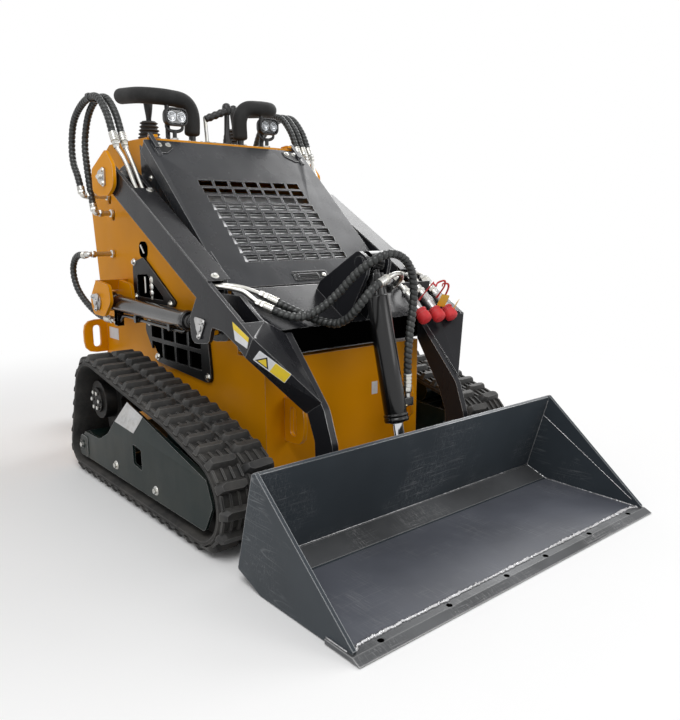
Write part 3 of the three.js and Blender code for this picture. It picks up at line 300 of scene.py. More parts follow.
def loft(outline: np.ndarray, levels: Sequence[Pair]) -> Shape:
    """An outline in X and Y carried through levels, each drawn in square to the outline.

    Args:
        outline: Points, shape (n, 2), in either direction.
        levels: Pairs (inset, Z), one for each ring.

    Returns:
        The closed shape.
    """
    if np.cross(outline, np.roll(outline, -1, 0)).sum() < 0:
        outline = outline[::-1]
    ahead = np.roll(outline, -1, 0) - np.roll(outline, 1, 0)
    ahead /= np.maximum(np.linalg.norm(ahead, axis=1)[:, None], 1e-9)
    inward = np.stack([-ahead[:, 1], ahead[:, 0]], 1)
    rings = [np.column_stack([outline + inward * inset, np.full(len(outline), z)]) for inset, z in levels]
    return Shape(np.concatenate(rings), capped(len(levels), len(outline), True))


def prism(outline: np.ndarray, low: float, high: float, edge: float = 1.0) -> Shape:
    """A plate: an outline in X and Y carried from low to high with its edges chamfered."""
    if edge == 0:
        return loft(outline, [(0, low), (0, high)])
    return loft(outline, [(edge, low), (0.0, low + edge), (0.0, high - edge), (edge, high)])


def side_plate(outline: np.ndarray, low: float, high: float, edge: float = 1.0) -> Shape:
    """A plate on the machine's side: an outline in Y and Z carried along X."""
    return prism(outline, low, high, edge).turned(FLAT_TO_YZ)


def box_shape(x: Pair, y: Pair, z: Pair, edge: float = 1.5) -> Shape:
    """A block with chamfered edges between pairs of limits."""
    return prism(np.array(corners_of(x, y), float), min(z), max(z), edge)


def smooth_path(points: Sequence[Place], count: int) -> np.ndarray:
    """A smooth curve through points, cut into equal steps.

    Between two neighbours p1 and p2 the place at t is the cubic that leaves p1 along p2 - p0 and
    reaches p2 along p3 - p1.

    Args:
        points: Places that the curve goes through.
        count: How many points to cut it into, with both ends.

    Returns:
        The points, shape (count, 3).
    """
    places = np.array([tuple(point) for point in points], float)
    ends = np.concatenate([[2 * places[0] - places[1]], places, [2 * places[-1] - places[-2]]])
    t = np.linspace(0, 1, 24, endpoint=False)[None, :, None]
    p0, p1, p2, p3 = (ends[k : len(ends) - 3 + k][:, None] for k in range(4))
    bend = (2 * p0 - 5 * p1 + 4 * p2 - p3) * t**2 + (3 * p1 - p0 - 3 * p2 + p3) * t**3
    dense = np.concatenate([(0.5 * (2 * p1 + (p2 - p0) * t + bend)).reshape(-1, 3), places[-1:]])
    run = run_of(dense)
    return along(np.linspace(0, run[-1], count), run, dense)


def tube(path: np.ndarray, radius: float | np.ndarray, sides: int = 20) -> Shape:
    """A round section carried along a path: point (i, j) is path point i plus radius (i, j) outwards.

    The section turns as little as it can from point to point.

    Args:
        path: Points of the middle line, shape (n, 3).
        radius: One radius, one for each point, or one for each point and side.
        sides: Points round the section.

    Returns:
        The tube with flat ends.
    """
    tangent = np.gradient(path, axis=0)
    tangent /= np.linalg.norm(tangent, axis=1)[:, None]
    side = [square_to(tangent[0])]
    for direction in tangent:
        side.append(unit(side[-1] - direction * side[-1].dot(direction)))
    side = np.array(side[1:])
    up = np.cross(tangent, side)
    radius = np.asarray(radius, float)
    radius = np.broadcast_to(radius[:, None] if radius.ndim == 1 else radius, (len(path), sides))
    turn = turns(sides)[None, :, None]
    points = path[:, None] + radius[:, :, None] * (np.cos(turn) * side[:, None] + np.sin(turn) * up[:, None])
    return Shape(points.reshape(-1, 3), capped(len(path), sides, False))


def oval(wide: float, tall: float, sides: int = 12) -> np.ndarray:
    """Radii round an oval of two half widths."""
    return 1 / np.sqrt((np.cos(turns(sides)) / wide) ** 2 + (np.sin(turns(sides)) / tall) ** 2)


def hex_bolt(place: Place, out: Place, size: float, washer: bool = True) -> Shape:
    """A bolt head with a chamfered top and its washer, standing out of a face.

    The head is a six-sided outline of radius size / sqrt(3) carried along the bolt's axis and drawn
    in at the top; the washer is a turned disc.

    Args:
        place: The middle of the head's seat.
        out: The way that the head points.
        size: The head's width between two flats.
        washer: Adds the washer.

    Returns:
        The head.
    """
    outline = np.stack([np.cos(turns(6)), np.sin(turns(6))], 1) * size / math.sqrt(3)
    parts = [prism(outline, size * 0.1, size * 0.6, size * 0.06)]
    if washer:
        rim = [(0, -size * 0.3), (size * 0.95, -size * 0.3), (size, 0.1), (size * 0.9, size * 0.16), (0, size * 0.16)]
        parts.append(lathe(rim, (0, 0, 0), UP, 20))
    out = unit(out)
    across = -square_to(out)
    return joined(parts).turned(np.stack([across, np.cross(out, across), out])).moved(place)


def bolts(face: float, places: Sequence[Pair], size: float, washer: bool = True) -> list[Shape]:
    """Bolt heads that stand out of a side face at distance face, at places (y, z)."""
    return [hex_bolt((face, y, z), ACROSS, size, washer) for y, z in places]


def nut(start: Place, end: Place, radius: float = NUT) -> Shape:
    """A chamfered hexagon nut: a profile turned round its line in six steps."""
    length = gap(start, end)
    lip = min(2.0, length * 0.2)
    profile = [(0, 0), (radius * 0.86, 0), (radius, lip), (radius, length - lip), (radius * 0.86, length), (0, length)]
    return lathe(profile, start, end, 6)


def ferrule(start: Place, end: Place, radius: float = FERRULE) -> Shape:
    """A hose's crimped end: a turned sleeve with three pressed bands.

    Args:
        start: The middle of one end.
        end: The middle of the other end.
        radius: The sleeve's radius.

    Returns:
        The sleeve.
    """
    length, pressed = gap(start, end), radius - 1.4
    profile = [(0, 0), (radius - 2, 0), (radius, 1.6)]
    for band in (0.16, 0.42, 0.68):
        profile += [(radius, band * length), (pressed, (band + 0.03) * length), (pressed, (band + 0.13) * length),
                    (radius, (band + 0.16) * length)]
    return lathe(profile + [(radius, length - 1.6), (radius - 2, length), (0, length)], start, end, 24)


def rod(start: Place, end: Place, radius: float, sides: int = 20) -> Shape:
    """A turned bar with chamfered ends."""
    length, edge = gap(start, end), 1.0
    inner, last = radius - edge, length - edge
    profile = [(0, 0), (inner, 0), (radius, edge), (radius, last), (inner, length), (0, length)]
    return lathe(profile, start, end, sides)


# ---------------------------------------------------------------- node groups


class Bench:
    """Places and joins nodes in one tree with short calls."""

    def __init__(self, tree: bpy.types.NodeTree) -> None:
        """Keeps the tree to work in."""
        self.tree = tree

    def add(self, kind: str, sockets: dict | None = None, **settings: object) -> bpy.types.Node:
        """Adds a node.

        Args:
            kind: The node's type without its ShaderNode prefix.
            sockets: Inputs by name or number, each a value or another node's output.
            settings: The node's own properties.

        Returns:
            The new node.
        """
        node = self.tree.nodes.new("ShaderNode" + kind)
        for name, value in settings.items():
            setattr(node, name, value)
        for key, value in (sockets or {}).items():
            self.feed(node.inputs[key], value)
        return node

    def feed(self, socket: Socket, value: object) -> None:
        """Sets an input, or links another node's output to it; a colour of three gets full alpha."""
        if isinstance(value, Socket):
            self.tree.links.new(value, socket)
        else:
            socket.default_value = (*value, 1.0) if socket.type == "RGBA" and len(value) == 3 else value

    def maths(self, operation: str, a: object, b: object = 0.0, clamp: bool = False) -> Socket:
        """The result of a Math node on two values."""
        return self.add("Math", {0: a, 1: b}, operation=operation, use_clamp=clamp).outputs[0]

    def plus(self, a: object, b: object, clamp: bool = False) -> Socket:
        """a + b."""
        return self.maths("ADD", a, b, clamp)

    def times(self, a: object, b: object, clamp: bool = False) -> Socket:
        """a * b."""
        return self.maths("MULTIPLY", a, b, clamp)

    def most(self, *values: object) -> Socket:
        """The largest of some values."""
        for number, value in enumerate(values):
            whole = self.maths("MAXIMUM", whole, value) if number else value
        return whole

    def off_middle(self, value: object) -> Socket:
        """How far a value lies from one half."""
        return self.maths("ABSOLUTE", self.maths("SUBTRACT", value, 0.5))

    def ramp(self, value: object, low: float, high: float, shape: str = "LINEAR") -> Socket:
        """A value stretched so that low becomes 0 and high becomes 1."""
        sockets = {"Value": value, "From Min": low, "From Max": high}
        return self.add("MapRange", sockets, clamp=True, interpolation_type=shape).outputs["Result"]

    def mix(self, share: object, a: object, b: object) -> Socket:
        """The colour between a and b at a share from 0 to 1."""
        return self.add("Mix", {0: share, 6: a, 7: b}, data_type="RGBA").outputs[2]

    def noise(self, place: object, scale: object, detail: float = 3.0, rough: float = 0.5) -> Socket:
        """A noise value at a place."""
        sockets = {"Vector": place, "Scale": scale, "Detail": detail, "Roughness": rough}
        return self.add("TexNoise", sockets).outputs["Fac"]

    def cloud(self, place: object, scale: object, detail: float, rough: float, low: float, high: float) -> Socket:
        """Noise stretched so that low becomes 0 and high becomes 1."""
        return self.ramp(self.noise(place, scale, detail, rough), low, high)

    def bump(self, height: object, strength: object, reach: float, **more: object) -> Socket:
        """The normal of a surface raised by a height."""
        return self.add("Bump", {"Height": height, "Strength": strength, "Distance": reach, **more}).outputs[0]

    def place(self) -> Socket:
        """The place on the piece."""
        return self.add("TexCoord").outputs["Object"]

    def split(self, value: object) -> dict:
        """A vector's parts by their letter."""
        return self.add("SeparateXYZ", {0: value}).outputs

    def seen(self) -> Socket:
        """1 for camera, clear and glossy rays, 0 for those that carry light."""
        ray = self.add("LightPath").outputs
        return self.most(*(ray[f"Is {kind} Ray"] for kind in ("Camera", "Transmission", "Glossy")))


class EffectKind(Enum):
    """The surface effects that several finishes share, each with its group's inputs."""

    WEAR = ("edge_wear", "Width", "Amount", "Scale")
    DUST = ("settled_dust", "Amount", "Height", "Scale")
    SCRATCH = ("scratches", "Amount", "Scale")
    PEEL = ("paint_ripple", "Fine", "Wave")


class Effects:
    """Builds each shared effect once, as a node group with named sockets."""

    def __init__(self) -> None:
        """Starts with no groups made."""
        self.groups: dict[EffectKind, bpy.types.NodeTree] = {}

    def use(self, bench: Bench, kind: EffectKind, *values: float) -> Socket:
        """Puts an effect into a material.

        Args:
            bench: The material's bench.
            kind: The effect, whose group is built at its first use.
            values: A value for each of its inputs.

        Returns:
            The effect's one output: a mask, or a normal for the ripple.
        """
        if kind not in self.groups:
            self.groups[kind] = self._build(kind)
        node = bench.add("Group", node_tree=self.groups[kind])
        for name, value in zip(kind.value[1:], values):
            bench.feed(node.inputs[name], value)
        return node.outputs[0]

    def _build(self, kind: EffectKind) -> bpy.types.NodeTree:
        """An effect's group, with its sockets joined to its own nodes."""
        name, *inputs = kind.value
        tree = bpy.data.node_groups.new(name, "ShaderNodeTree")
        for label in inputs:
            tree.interface.new_socket(name=label, in_out="INPUT", socket_type="NodeSocketFloat")
        vector = kind is EffectKind.PEEL
        tree.interface.new_socket(name="Normal" if vector else "Mask", in_out="OUTPUT",
                                  socket_type="NodeSocketVector" if vector else "NodeSocketFloat")
        bench = Bench(tree)
        given = tree.nodes.new("NodeGroupInput").outputs
        make = {EffectKind.WEAR: self._wear, EffectKind.DUST: self._dust, EffectKind.SCRATCH: self._scratch,
                EffectKind.PEEL: self._peel}[kind]
        bench.feed(tree.nodes.new("NodeGroupOutput").inputs[0], make(bench, bench.place(), given))
        return tree

    @staticmethod
    def _wear(bench: Bench, place: Socket, given: dict) -> Socket:
        """Bare metal on edges: the normal rounded over a width differs from the true one there, and
        noise breaks the line up."""
        bevel = bench.add("Bevel", {"Radius": given["Width"]}, samples=4).outputs[0]
        true = bench.add("NewGeometry").outputs["Normal"]
        facing = bench.add("VectorMath", {0: bevel, 1: true}, operation="DOT_PRODUCT").outputs["Value"]
        edge = bench.ramp(facing, 0.995, 0.93)
        near = bench.plus(bench.noise(place, given["Scale"], 4.0), bench.times(edge, 0.5))
        limit = bench.maths("SUBTRACT", 0.95, given["Amount"])
        broken = bench.ramp(bench.maths("SUBTRACT", near, limit), 0.0, 0.12)
        return bench.times(broken, edge, True)

    @staticmethod
    def _dust(bench: Bench, place: Socket, given: dict) -> Socket:
        """Dust where a face looks up and near the ground, in soft patches."""
        normal = bench.split(bench.add("NewGeometry").outputs["Normal"])["Z"]
        low = bench.ramp(bench.maths("DIVIDE", bench.split(place)["Z"], given["Height"]), 1.0, 0.0)
        up = bench.times(bench.ramp(normal, 0.1, 0.9), 0.6)
        patches = bench.cloud(place, given["Scale"], 6.0, 0.65, 0.38, 0.72)
        return bench.times(bench.times(bench.plus(low, up, True), patches), given["Amount"], True)

    @staticmethod
    def _scratch(bench: Bench, place: Socket, given: dict) -> Socket:
        """Thin scratches: layers of noise stretched along a line, cut near their middle value."""
        scaled = bench.add("VectorMath", {0: place, "Scale": given["Scale"]}, operation="SCALE").outputs[0]
        masks = []
        for turn, stretch in ((0.35, (150, 2.2, 40)), (-0.6, (2.5, 170, 60)), (1.1, (120, 3, 25))):
            drawn = bench.add("Mapping", {"Vector": scaled, "Scale": stretch, "Rotation": (0.1, 0.2, turn)}).outputs[0]
            masks.append(bench.ramp(bench.off_middle(bench.noise(drawn, 1.0, 2.0)), 0.012, 0.0))
        patches = bench.cloud(scaled, 5.0, 3.0, 0.5, 0.48, 0.66)
        return bench.times(bench.times(bench.most(*masks), patches), given["Amount"], True)

    @staticmethod
    def _peel(bench: Bench, place: Socket, given: dict) -> Socket:
        """The faint ripple of sprayed paint, and the slow waves of sheet steel, as a normal."""
        wave = bench.bump(bench.noise(place, 4.0, 2.0), given["Wave"], 0.01)
        return bench.bump(bench.noise(place, 420.0, 2.0), given["Fine"], 0.0006, Normal=wave)


EFFECTS = Effects()


# ---------------------------------------------------------------- finishes

SOIL = {"paint": (0.33, 0.29, 0.23), "metal": (0.05, 0.042, 0.035), "rubber": (0.30, 0.275, 0.24),
        "plate": (0.3, 0.28, 0.24), "deck": (0.22, 0.19, 0.15)}


@dataclass(frozen=True)
class Finish:
    """A named surface finish; each kind of finish builds its own shader."""

    name: str
    colour: Triple
    roughness: float = 0.5
    slot: str = "black"

    def material(self) -> bpy.types.Material:
        """The finish's material, made at its first use."""
        made = bpy.data.materials.get(self.name)
        if made is None:
            made = bpy.data.materials.new(self.name)
            made.use_nodes = True
            made.diffuse_color = (*self.colour, 1.0)
            bench = Bench(made.node_tree)
            shader = made.node_tree.nodes["Principled BSDF"]
            plain = {"Base Color": self.colour, "Roughness": self.roughness}
            for name, value in {**plain, **self.dress(bench, bench.place())}.items():
                bench.feed(shader.inputs[name], value)
        return made

    def dress(self, bench: Bench, place: Socket) -> dict:
        """Makes the finish's own nodes.

        Args:
            bench: The material's bench.
            place: The place on the piece.

        Returns:
            Values for the shader's inputs by name.
        """
        return {}


@dataclass(frozen=True)
class Paint(Finish):
    """Sprayed paint on steel, with a clear gloss, dust, scratches and bare edges."""

    metallic: float = 0.0
    coat: float = 0.2
    specular: float = 0.35
    ripple: float = 0.12
    wave: float = 0.25
    dust: float = 0.25
    dust_height: float = 0.45
    wear: float = 0.35
    wear_width: float = 0.002
    scratch: float = 0.0
    bare: Triple = (0.42, 0.42, 0.42)
    vary: float = 0.12

    def dress(self, bench: Bench, place: Socket) -> dict:
        """Colour clouds, then scratches, worn edges and dust over the paint."""
        darker, lighter = (tuple(min(1.0, c * (1 + swing)) for c in self.colour) for swing in (-self.vary, self.vary))
        colour = bench.mix(bench.cloud(place, 3.0, 4.0, 0.5, 0.35, 0.65), darker, lighter)
        marks = EFFECTS.use(bench, EffectKind.WEAR, self.wear_width, self.wear, 45.0)
        if self.scratch > 0:
            marks = bench.most(marks, EFFECTS.use(bench, EffectKind.SCRATCH, self.scratch, 1.0))
        dust = EFFECTS.use(bench, EffectKind.DUST, self.dust, self.dust_height, 7.0)
        colour = bench.mix(dust, bench.mix(bench.times(marks, 0.8), colour, self.bare), SOIL["paint"])
        drawn = bench.add("Mapping", {"Vector": place, "Scale": (3, 3, 0.8)}).outputs[0]
        smear = bench.times(bench.cloud(drawn, 4.0, 5.0, 0.6, 0.3, 0.8), 0.14)
        return {
            "Base Color": colour,
            "Roughness": bench.plus(bench.plus(self.roughness, smear), bench.times(dust, 0.5), True),
            "Metallic": bench.most(self.metallic, bench.times(marks, 0.7)),
            "Coat Weight": bench.times(bench.maths("SUBTRACT", 1.0, dust, True), self.coat),
            "Coat Roughness": 0.06,
            "Specular IOR Level": self.specular,
            "Normal": EFFECTS.use(bench, EffectKind.PEEL, self.ripple, self.wave),
        }


class Grain(Enum):
    """How a bare metal's surface was made, with its grain's scale and strength."""

    CHROME = (30.0, 0.03)
    ZINC = (700.0, 0.15)
    CAST = (260.0, 0.7)
    WELD = (420.0, 0.8)


@dataclass(frozen=True)
class Metal(Finish):
    """Bare or plated metal."""

    grain: Grain = Grain.ZINC
    tint: Triple = (0.6, 0.5, 0.3)
    grime: float = 0.3

    def dress(self, bench: Bench, place: Socket) -> dict:
        """A metal whose tint, gloss and grain depend on how its surface was made."""
        patch = bench.times(bench.cloud(place, 55.0, 4.0, 0.5, 0.4, 0.7), 0.45)
        grime = bench.times(bench.cloud(place, 22.0, 6.0, 0.7, 0.5, 0.75), self.grime)
        scale, strength = self.grain.value
        return {
            "Metallic": 1.0,
            "Base Color": bench.mix(grime, bench.mix(patch, self.colour, self.tint), SOIL["metal"]),
            "Roughness": bench.plus(self.roughness, bench.times(grime, 0.5), True),
            "Normal": bench.bump(bench.noise(place, scale, 4.0), strength, 0.001),
        }


@dataclass(frozen=True)
class Rubber(Finish):
    """Moulded rubber: grey bloom, fine pits, and dust held in patches."""

    dust: float = 0.5
    bloom: Triple = (0.10, 0.10, 0.098)
    worn: Triple = (0.16, 0.155, 0.15)

    def dress(self, bench: Bench, place: Socket) -> dict:
        """Bloom clouds, worn light edges, dust and a pitted bump."""
        colour = bench.mix(bench.cloud(place, 14.0, 6.0, 0.7, 0.35, 0.7), self.colour, self.bloom)
        wear = bench.times(EFFECTS.use(bench, EffectKind.WEAR, 0.003, 0.5, 80.0), 0.5)
        dust = EFFECTS.use(bench, EffectKind.DUST, self.dust, 0.7, 16.0)
        pits = bench.plus(bench.noise(place, 300.0, 5.0, 0.7), bench.noise(place, 60.0))
        return {
            "Base Color": bench.mix(dust, bench.mix(wear, colour, self.worn), SOIL["rubber"]),
            "Roughness": bench.plus(self.roughness, bench.times(bench.noise(place, 40.0), 0.15)),
            "Normal": bench.bump(pits, 0.45, 0.0015),
        }


@dataclass(frozen=True)
class Foam(Finish):
    """Closed-cell foam or grained vinyl: small cells and soft lighter scuffs."""

    cells: float = 900.0
    depth: float = 0.35

    def dress(self, bench: Bench, place: Socket) -> dict:
        """Cell bump, scuffs and a little sheen."""
        cells = bench.add("TexVoronoi", {"Vector": place, "Scale": self.cells}).outputs["Distance"]
        scuff = bench.cloud(place, 30.0, 6.0, 0.7, 0.5, 0.8)
        lighter = tuple(c * 2.0 + 0.004 for c in self.colour)
        return {
            "Base Color": bench.mix(bench.times(scuff, 0.7), self.colour, lighter),
            "Roughness": bench.maths("SUBTRACT", self.roughness, bench.times(scuff, 0.12)),
            "Sheen Weight": 0.04,
            "Normal": bench.bump(cells, self.depth, 0.0006),
        }


@dataclass(frozen=True)
class SpiralGuard(Finish):
    """A hose in a spiral plastic guard, whose grooves the mesh marks in an attribute."""

    marker: str = "groove"
    scuffed: Triple = (0.07, 0.075, 0.07)
    deep: Triple = (0.002, 0.002, 0.002)

    def dress(self, bench: Bench, place: Socket) -> dict:
        """Scuffed bands, with darker, duller grooves where the attribute rises."""
        groove = bench.add("Attribute", attribute_name=self.marker, attribute_type="GEOMETRY").outputs["Fac"]
        scuff = bench.times(bench.cloud(place, 45.0, 5.0, 0.7, 0.42, 0.75), 0.8)
        return {
            "Base Color": bench.mix(groove, bench.mix(scuff, self.colour, self.scuffed), self.deep),
            "Roughness": bench.plus(self.roughness, bench.times(groove, 0.35), True),
            "Normal": bench.bump(bench.noise(place, 500.0), 0.2, 0.0005),
        }


@dataclass(frozen=True)
class ClearLens(Finish):
    """A clear moulded lamp lens."""

    def dress(self, bench: Bench, place: Socket) -> dict:
        """Plain glass with a faint moulded ripple."""
        normal = bench.bump(bench.noise(place, 90.0, 1.0), 0.1, 0.001)
        return {"Transmission Weight": 1.0, "IOR": 1.45, "Normal": normal}


@dataclass(frozen=True)
class Printed(Finish):
    """A blank vinyl plate: even colour with light scuffs and soiled edges."""

    def dress(self, bench: Bench, place: Socket) -> dict:
        """Soft soiling over the colour."""
        soil = bench.cloud(place, 60.0, 6.0, 0.7, 0.5, 0.85)
        return {"Base Color": bench.mix(bench.times(soil, 0.4), self.colour, SOIL["plate"]),
                "Roughness": bench.plus(self.roughness, bench.times(soil, 0.3), True)}


@dataclass(frozen=True)
class TreadPlate(Finish):
    """Painted steel plate with raised diamonds."""

    pitch: float = 0.028
    worn: Triple = (0.4, 0.4, 0.39)

    def dress(self, bench: Bench, place: Socket) -> dict:
        """Raised bars: on a checker of cells, a slim diamond |along| + 3.2 |across| < a limit, turned
        by a quarter turn in every other cell; the raised tops are worn bright."""
        masks = []
        for shift, slim in ((0.0, (1.0, 3.2)), (0.5, (3.2, 1.0))):
            scaled = bench.add("Mapping", {"Vector": place, "Scale": (1 / self.pitch,) * 3, "Location": (shift,) * 3,
                                           "Rotation": (0, 0, math.pi / 4)}).outputs[0]
            cell = bench.split(bench.add("VectorMath", {0: scaled}, operation="FRACTION").outputs[0])
            u, v = (bench.times(bench.off_middle(cell[letter]), by) for letter, by in zip("XY", slim))
            masks.append(bench.ramp(bench.plus(u, v), 0.42, 0.34))
        raised = bench.most(*masks)
        worn = bench.times(raised, bench.cloud(place, 12.0, 4.0, 0.5, 0.4, 0.6))
        dirt = bench.times(bench.cloud(place, 9.0, 6.0, 0.7, 0.4, 0.75), 0.45)
        return {
            "Base Color": bench.mix(bench.times(worn, 0.7), bench.mix(dirt, self.colour, SOIL["deck"]), self.worn),
            "Metallic": bench.times(worn, 0.8),
            "Normal": bench.bump(raised, 0.9, 0.0015),
        }


YELLOW = Paint("machine_yellow", (0.70, 0.275, 0.001), 0.3, "yellow", coat=0.0, specular=0.08, dust=0.05, wear=0.2,
               vary=0.05)
ARM_BLACK = Paint("arm_black", (0.013, 0.0135, 0.016), 0.2, "black", coat=0.03, specular=0.2, dust=0.03,
                  dust_height=0.3, wear=0.52, bare=(0.6, 0.6, 0.6))
HOOD_GREY = Paint("hood_grey", (0.024, 0.0255, 0.029), 0.2, "graphite", coat=0.08, specular=0.22, dust=0.04,
                  dust_height=0.3, wear=0.5, wave=0.45, bare=(0.55, 0.55, 0.55))
FRAME_GREEN = Paint("track_frame_green", (0.006, 0.014, 0.013), 0.3, "graphite", coat=0.02, specular=0.15, dust=0.08,
                    dust_height=0.4, wear=0.35)
BUCKET_SLATE = Paint("bucket_slate", (0.034, 0.042, 0.050), 0.34, "slate", coat=0.02, specular=0.25, dust=0.0,
                     wear=0.62, wear_width=0.0035, scratch=0.4, bare=(0.45, 0.46, 0.47), vary=0.14)
# The floor's slate is lighter than the bucket's: painted light for the sky light that falls on the floor; its scratches
# and worn edges are real.
FLOOR_SLATE_PAINTED_LIGHT = Paint("floor_slate", (0.088, 0.094, 0.112), 0.36, "slate", coat=0.02, specular=0.3, dust=0.0, wear=0.2,
                    scratch=0.45, bare=(0.45, 0.46, 0.47), vary=0.16)
EDGE_SLATE = Paint("worn_edge", (0.085, 0.088, 0.092), 0.32, "slate", metallic=0.3, coat=0.0, specular=0.4, dust=0.0,
                   wear=0.7, wear_width=0.004, scratch=0.7, bare=(0.5, 0.5, 0.5), vary=0.3)
PLATE_BLACK = Paint("plate_black", (0.006, 0.0065, 0.007), 0.35, "black",
                    coat=0.05, specular=0.25, dust=0.05, wear=0.25)
CYLINDER_BLACK = Paint("cylinder_black", (0.004, 0.004, 0.0045), 0.14, "black", coat=0.15, specular=0.4, ripple=0.0,
                       dust=0.02, wear=0.08)
SHADE = Paint("deep_shade", (0.0008, 0.0008, 0.0008), 0.9, "black", coat=0.0, specular=0.0, ripple=0.0, dust=0.0,
              wear=0.0)
CHROME = Metal("hard_chrome", (0.62, 0.63, 0.65), 0.08, "steel", Grain.CHROME, (0.55, 0.56, 0.58), 0.1)
REFLECTOR = Metal("lamp_reflector", (0.5, 0.51, 0.52), 0.15, "steel", Grain.CHROME, (0.8, 0.8, 0.82), 0.0)
ZINC = Metal("bright_zinc", (0.62, 0.62, 0.6), 0.28, "steel", Grain.ZINC, (0.55, 0.5, 0.38), 0.25)
GOLD_ZINC = Metal("yellow_zinc", (0.66, 0.56, 0.36), 0.32, "steel", Grain.ZINC, (0.5, 0.5, 0.45), 0.2)
STEEL = Metal("pin_steel", (0.5, 0.5, 0.5), 0.35, "steel", Grain.ZINC, (0.4, 0.38, 0.35), 0.35)
COOLER = Metal("cooler_fins", (0.72, 0.72, 0.73), 0.5, "steel", Grain.ZINC, (0.2, 0.2, 0.2), 0.5)
IRON = Metal("cast_iron", (0.03, 0.03, 0.03), 0.55, "iron", Grain.CAST, (0.05, 0.045, 0.04), 0.6)
WELD = Metal("weld_bead", (0.55, 0.55, 0.56), 0.35, "steel", Grain.WELD, (0.35, 0.34, 0.33), 0.3)
TRACK_RUBBER = Rubber("tread_rubber", (0.009, 0.009, 0.0095), 0.5, "rubber", 0.14, (0.03, 0.03, 0.029))
BELT_RUBBER = Rubber("belt_rubber", (0.006, 0.006, 0.006), 0.75, "rubber", 0.12, (0.016, 0.015, 0.014))
CAP_RED = Rubber("red_cap", (0.55, 0.012, 0.018), 0.5, "rubber", 0.05, (0.6, 0.03, 0.035))
BELLOWS = Rubber("bellows_rubber", (0.016, 0.016, 0.017), 0.55, "rubber", 0.1, (0.04, 0.04, 0.04))
GRIP_FOAM = Foam("grip_foam", (0.0035, 0.0035, 0.0035), 0.8, "foam")
KNOB = Foam("moulded_grip", (0.004, 0.004, 0.004), 0.42, "foam", 1600.0, 0.15)
PAD_VINYL = Foam("pad_vinyl", (0.012, 0.012, 0.013), 0.6, "foam", 700.0, 0.25)
HOUSING = Foam("lamp_housing", (0.005, 0.005, 0.0055), 0.4, "black", 1800.0, 0.1)
GUARDED_HOSE = SpiralGuard("hose_guard", (0.014, 0.016, 0.016), 0.3, "rubber")
LENS = ClearLens("lamp_lens", (0.95, 0.96, 0.97), 0.03, "lens")
PLATE_WHITE = Printed("blank_plate_white", (0.72, 0.73, 0.75), 0.35, "lens")
PLATE_YELLOW = Printed("warning_yellow", (0.85, 0.62, 0.02), 0.35, "yellow")
# Black print, and the flat black box behind the cooler's fins that is painted shade.
PRINT_AND_SHADE_BLACK = Printed("mark_black", (0.01, 0.01, 0.01), 0.4, "black")
TAG_YELLOW = Printed("tag_yellow", (0.75, 0.42, 0.03), 0.45, "yellow")
DECK = TreadPlate("tread_plate", (0.03, 0.032, 0.034), 0.45, "black")


# ---------------------------------------------------------------- pieces on the model


def dress(piece: bpy.types.Object, finish: Finish) -> bpy.types.Object:
    """Gives a piece its one finish."""
    piece.data.materials.clear()
    piece.data.materials.append(finish.material())
    return piece


def cleaned(mesh: bpy.types.Mesh, *steps: tuple) -> None:
    """Runs mesh operations on a mesh.

    Args:
        mesh: The mesh to change.
        steps: Each an operation, the kinds of elements it works on, and its settings.
    """
    work = bmesh.new()
    work.from_mesh(mesh)
    whole = {"verts": work.verts, "edges": work.edges, "faces": work.faces}
    for operation, kinds, settings in steps:
        operation(work, **{kind: whole[kind] for kind in kinds}, **settings)
    work.to_mesh(mesh)
    work.free()


def solid(name: str, shape: Shape, finish: Finish, smooth: float = 40.0) -> bpy.types.Object:
    """A finished piece with its poles closed and every closed shell's faces turned outwards.

    Args:
        name: The piece's name.
        shape: Its mesh.
        finish: Its finish.
        smooth: Edges that turn by more than this many degrees stay sharp.

    Returns:
        The piece, which rides on nothing yet.
    """
    piece = dress(new_object(name, shape.points, shape.faces, smooth), finish)
    cleaned(piece.data, (bmesh.ops.remove_doubles, ["verts"], {"dist": 1e-7}),
            (bmesh.ops.recalc_face_normals, ["faces"], {}))
    piece.data.set_sharp_from_angle(angle=math.radians(smooth))
    return piece


def add_piece(name: str, shapes: Shape | Iterable[Shape], finish: Finish, body: str = "chassis",
              stands_for: str = "", smooth: float = 40.0, side: Side | None = None) -> bpy.types.Object:
    """Makes a finished piece that rides on a body.

    Args:
        name: The piece's name, without its side's letter.
        shapes: Its mesh in one shape or several, drawn on the machine's left.
        finish: Its finish.
        body: The CAD body that carries it.
        stands_for: A CAD node that it replaces, without its side's letter.
        smooth: Edges that turn by more than this many degrees stay sharp.
        side: The side of a piece that comes in pairs.

    Returns:
        The piece.
    """
    shape = shapes if isinstance(shapes, Shape) else joined(shapes)
    tag = f"_{side.tag}" if side else ""
    piece = solid(name + tag, shape.on(side or Side.LEFT), finish, smooth)
    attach(piece, body)
    if stands_for:
        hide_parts(stands_for + tag)
    LOG.info("%s: %d faces", piece.name, len(piece.data.polygons))
    return piece


def refined(node: str, finish: Finish) -> bpy.types.Object:
    """A merged copy of a CAD node with its flat faces rejoined and its edges slightly rounded.

    Args:
        node: The CAD node that the copy stands for.
        finish: Its finish.

    Returns:
        The copy, riding on the node's body.
    """
    edge, smooth, flat = 0.0012, 34.0, 0.6
    mesh = frame["nodes"][node].data.copy()
    mesh.name = node + "_finish"
    cleaned(mesh, (bmesh.ops.remove_doubles, ["verts"], {"dist": 2e-5}),
            (bmesh.ops.dissolve_degenerate, ["edges"], {"dist": 1e-5}),
            (bmesh.ops.dissolve_limit, ["verts", "edges"], {"angle_limit": math.radians(flat)}))
    piece = dress(linked(mesh.name, mesh, smooth), finish)
    bevel = piece.modifiers.new("edges", "BEVEL")
    bevel.width, bevel.segments = edge, 2
    bevel.limit_method, bevel.angle_limit = "ANGLE", math.radians(smooth)
    bevel.harden_normals = bevel.use_clamp_overlap = True
    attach(piece, BODY_OF[node])
    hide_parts(node)
    return piece


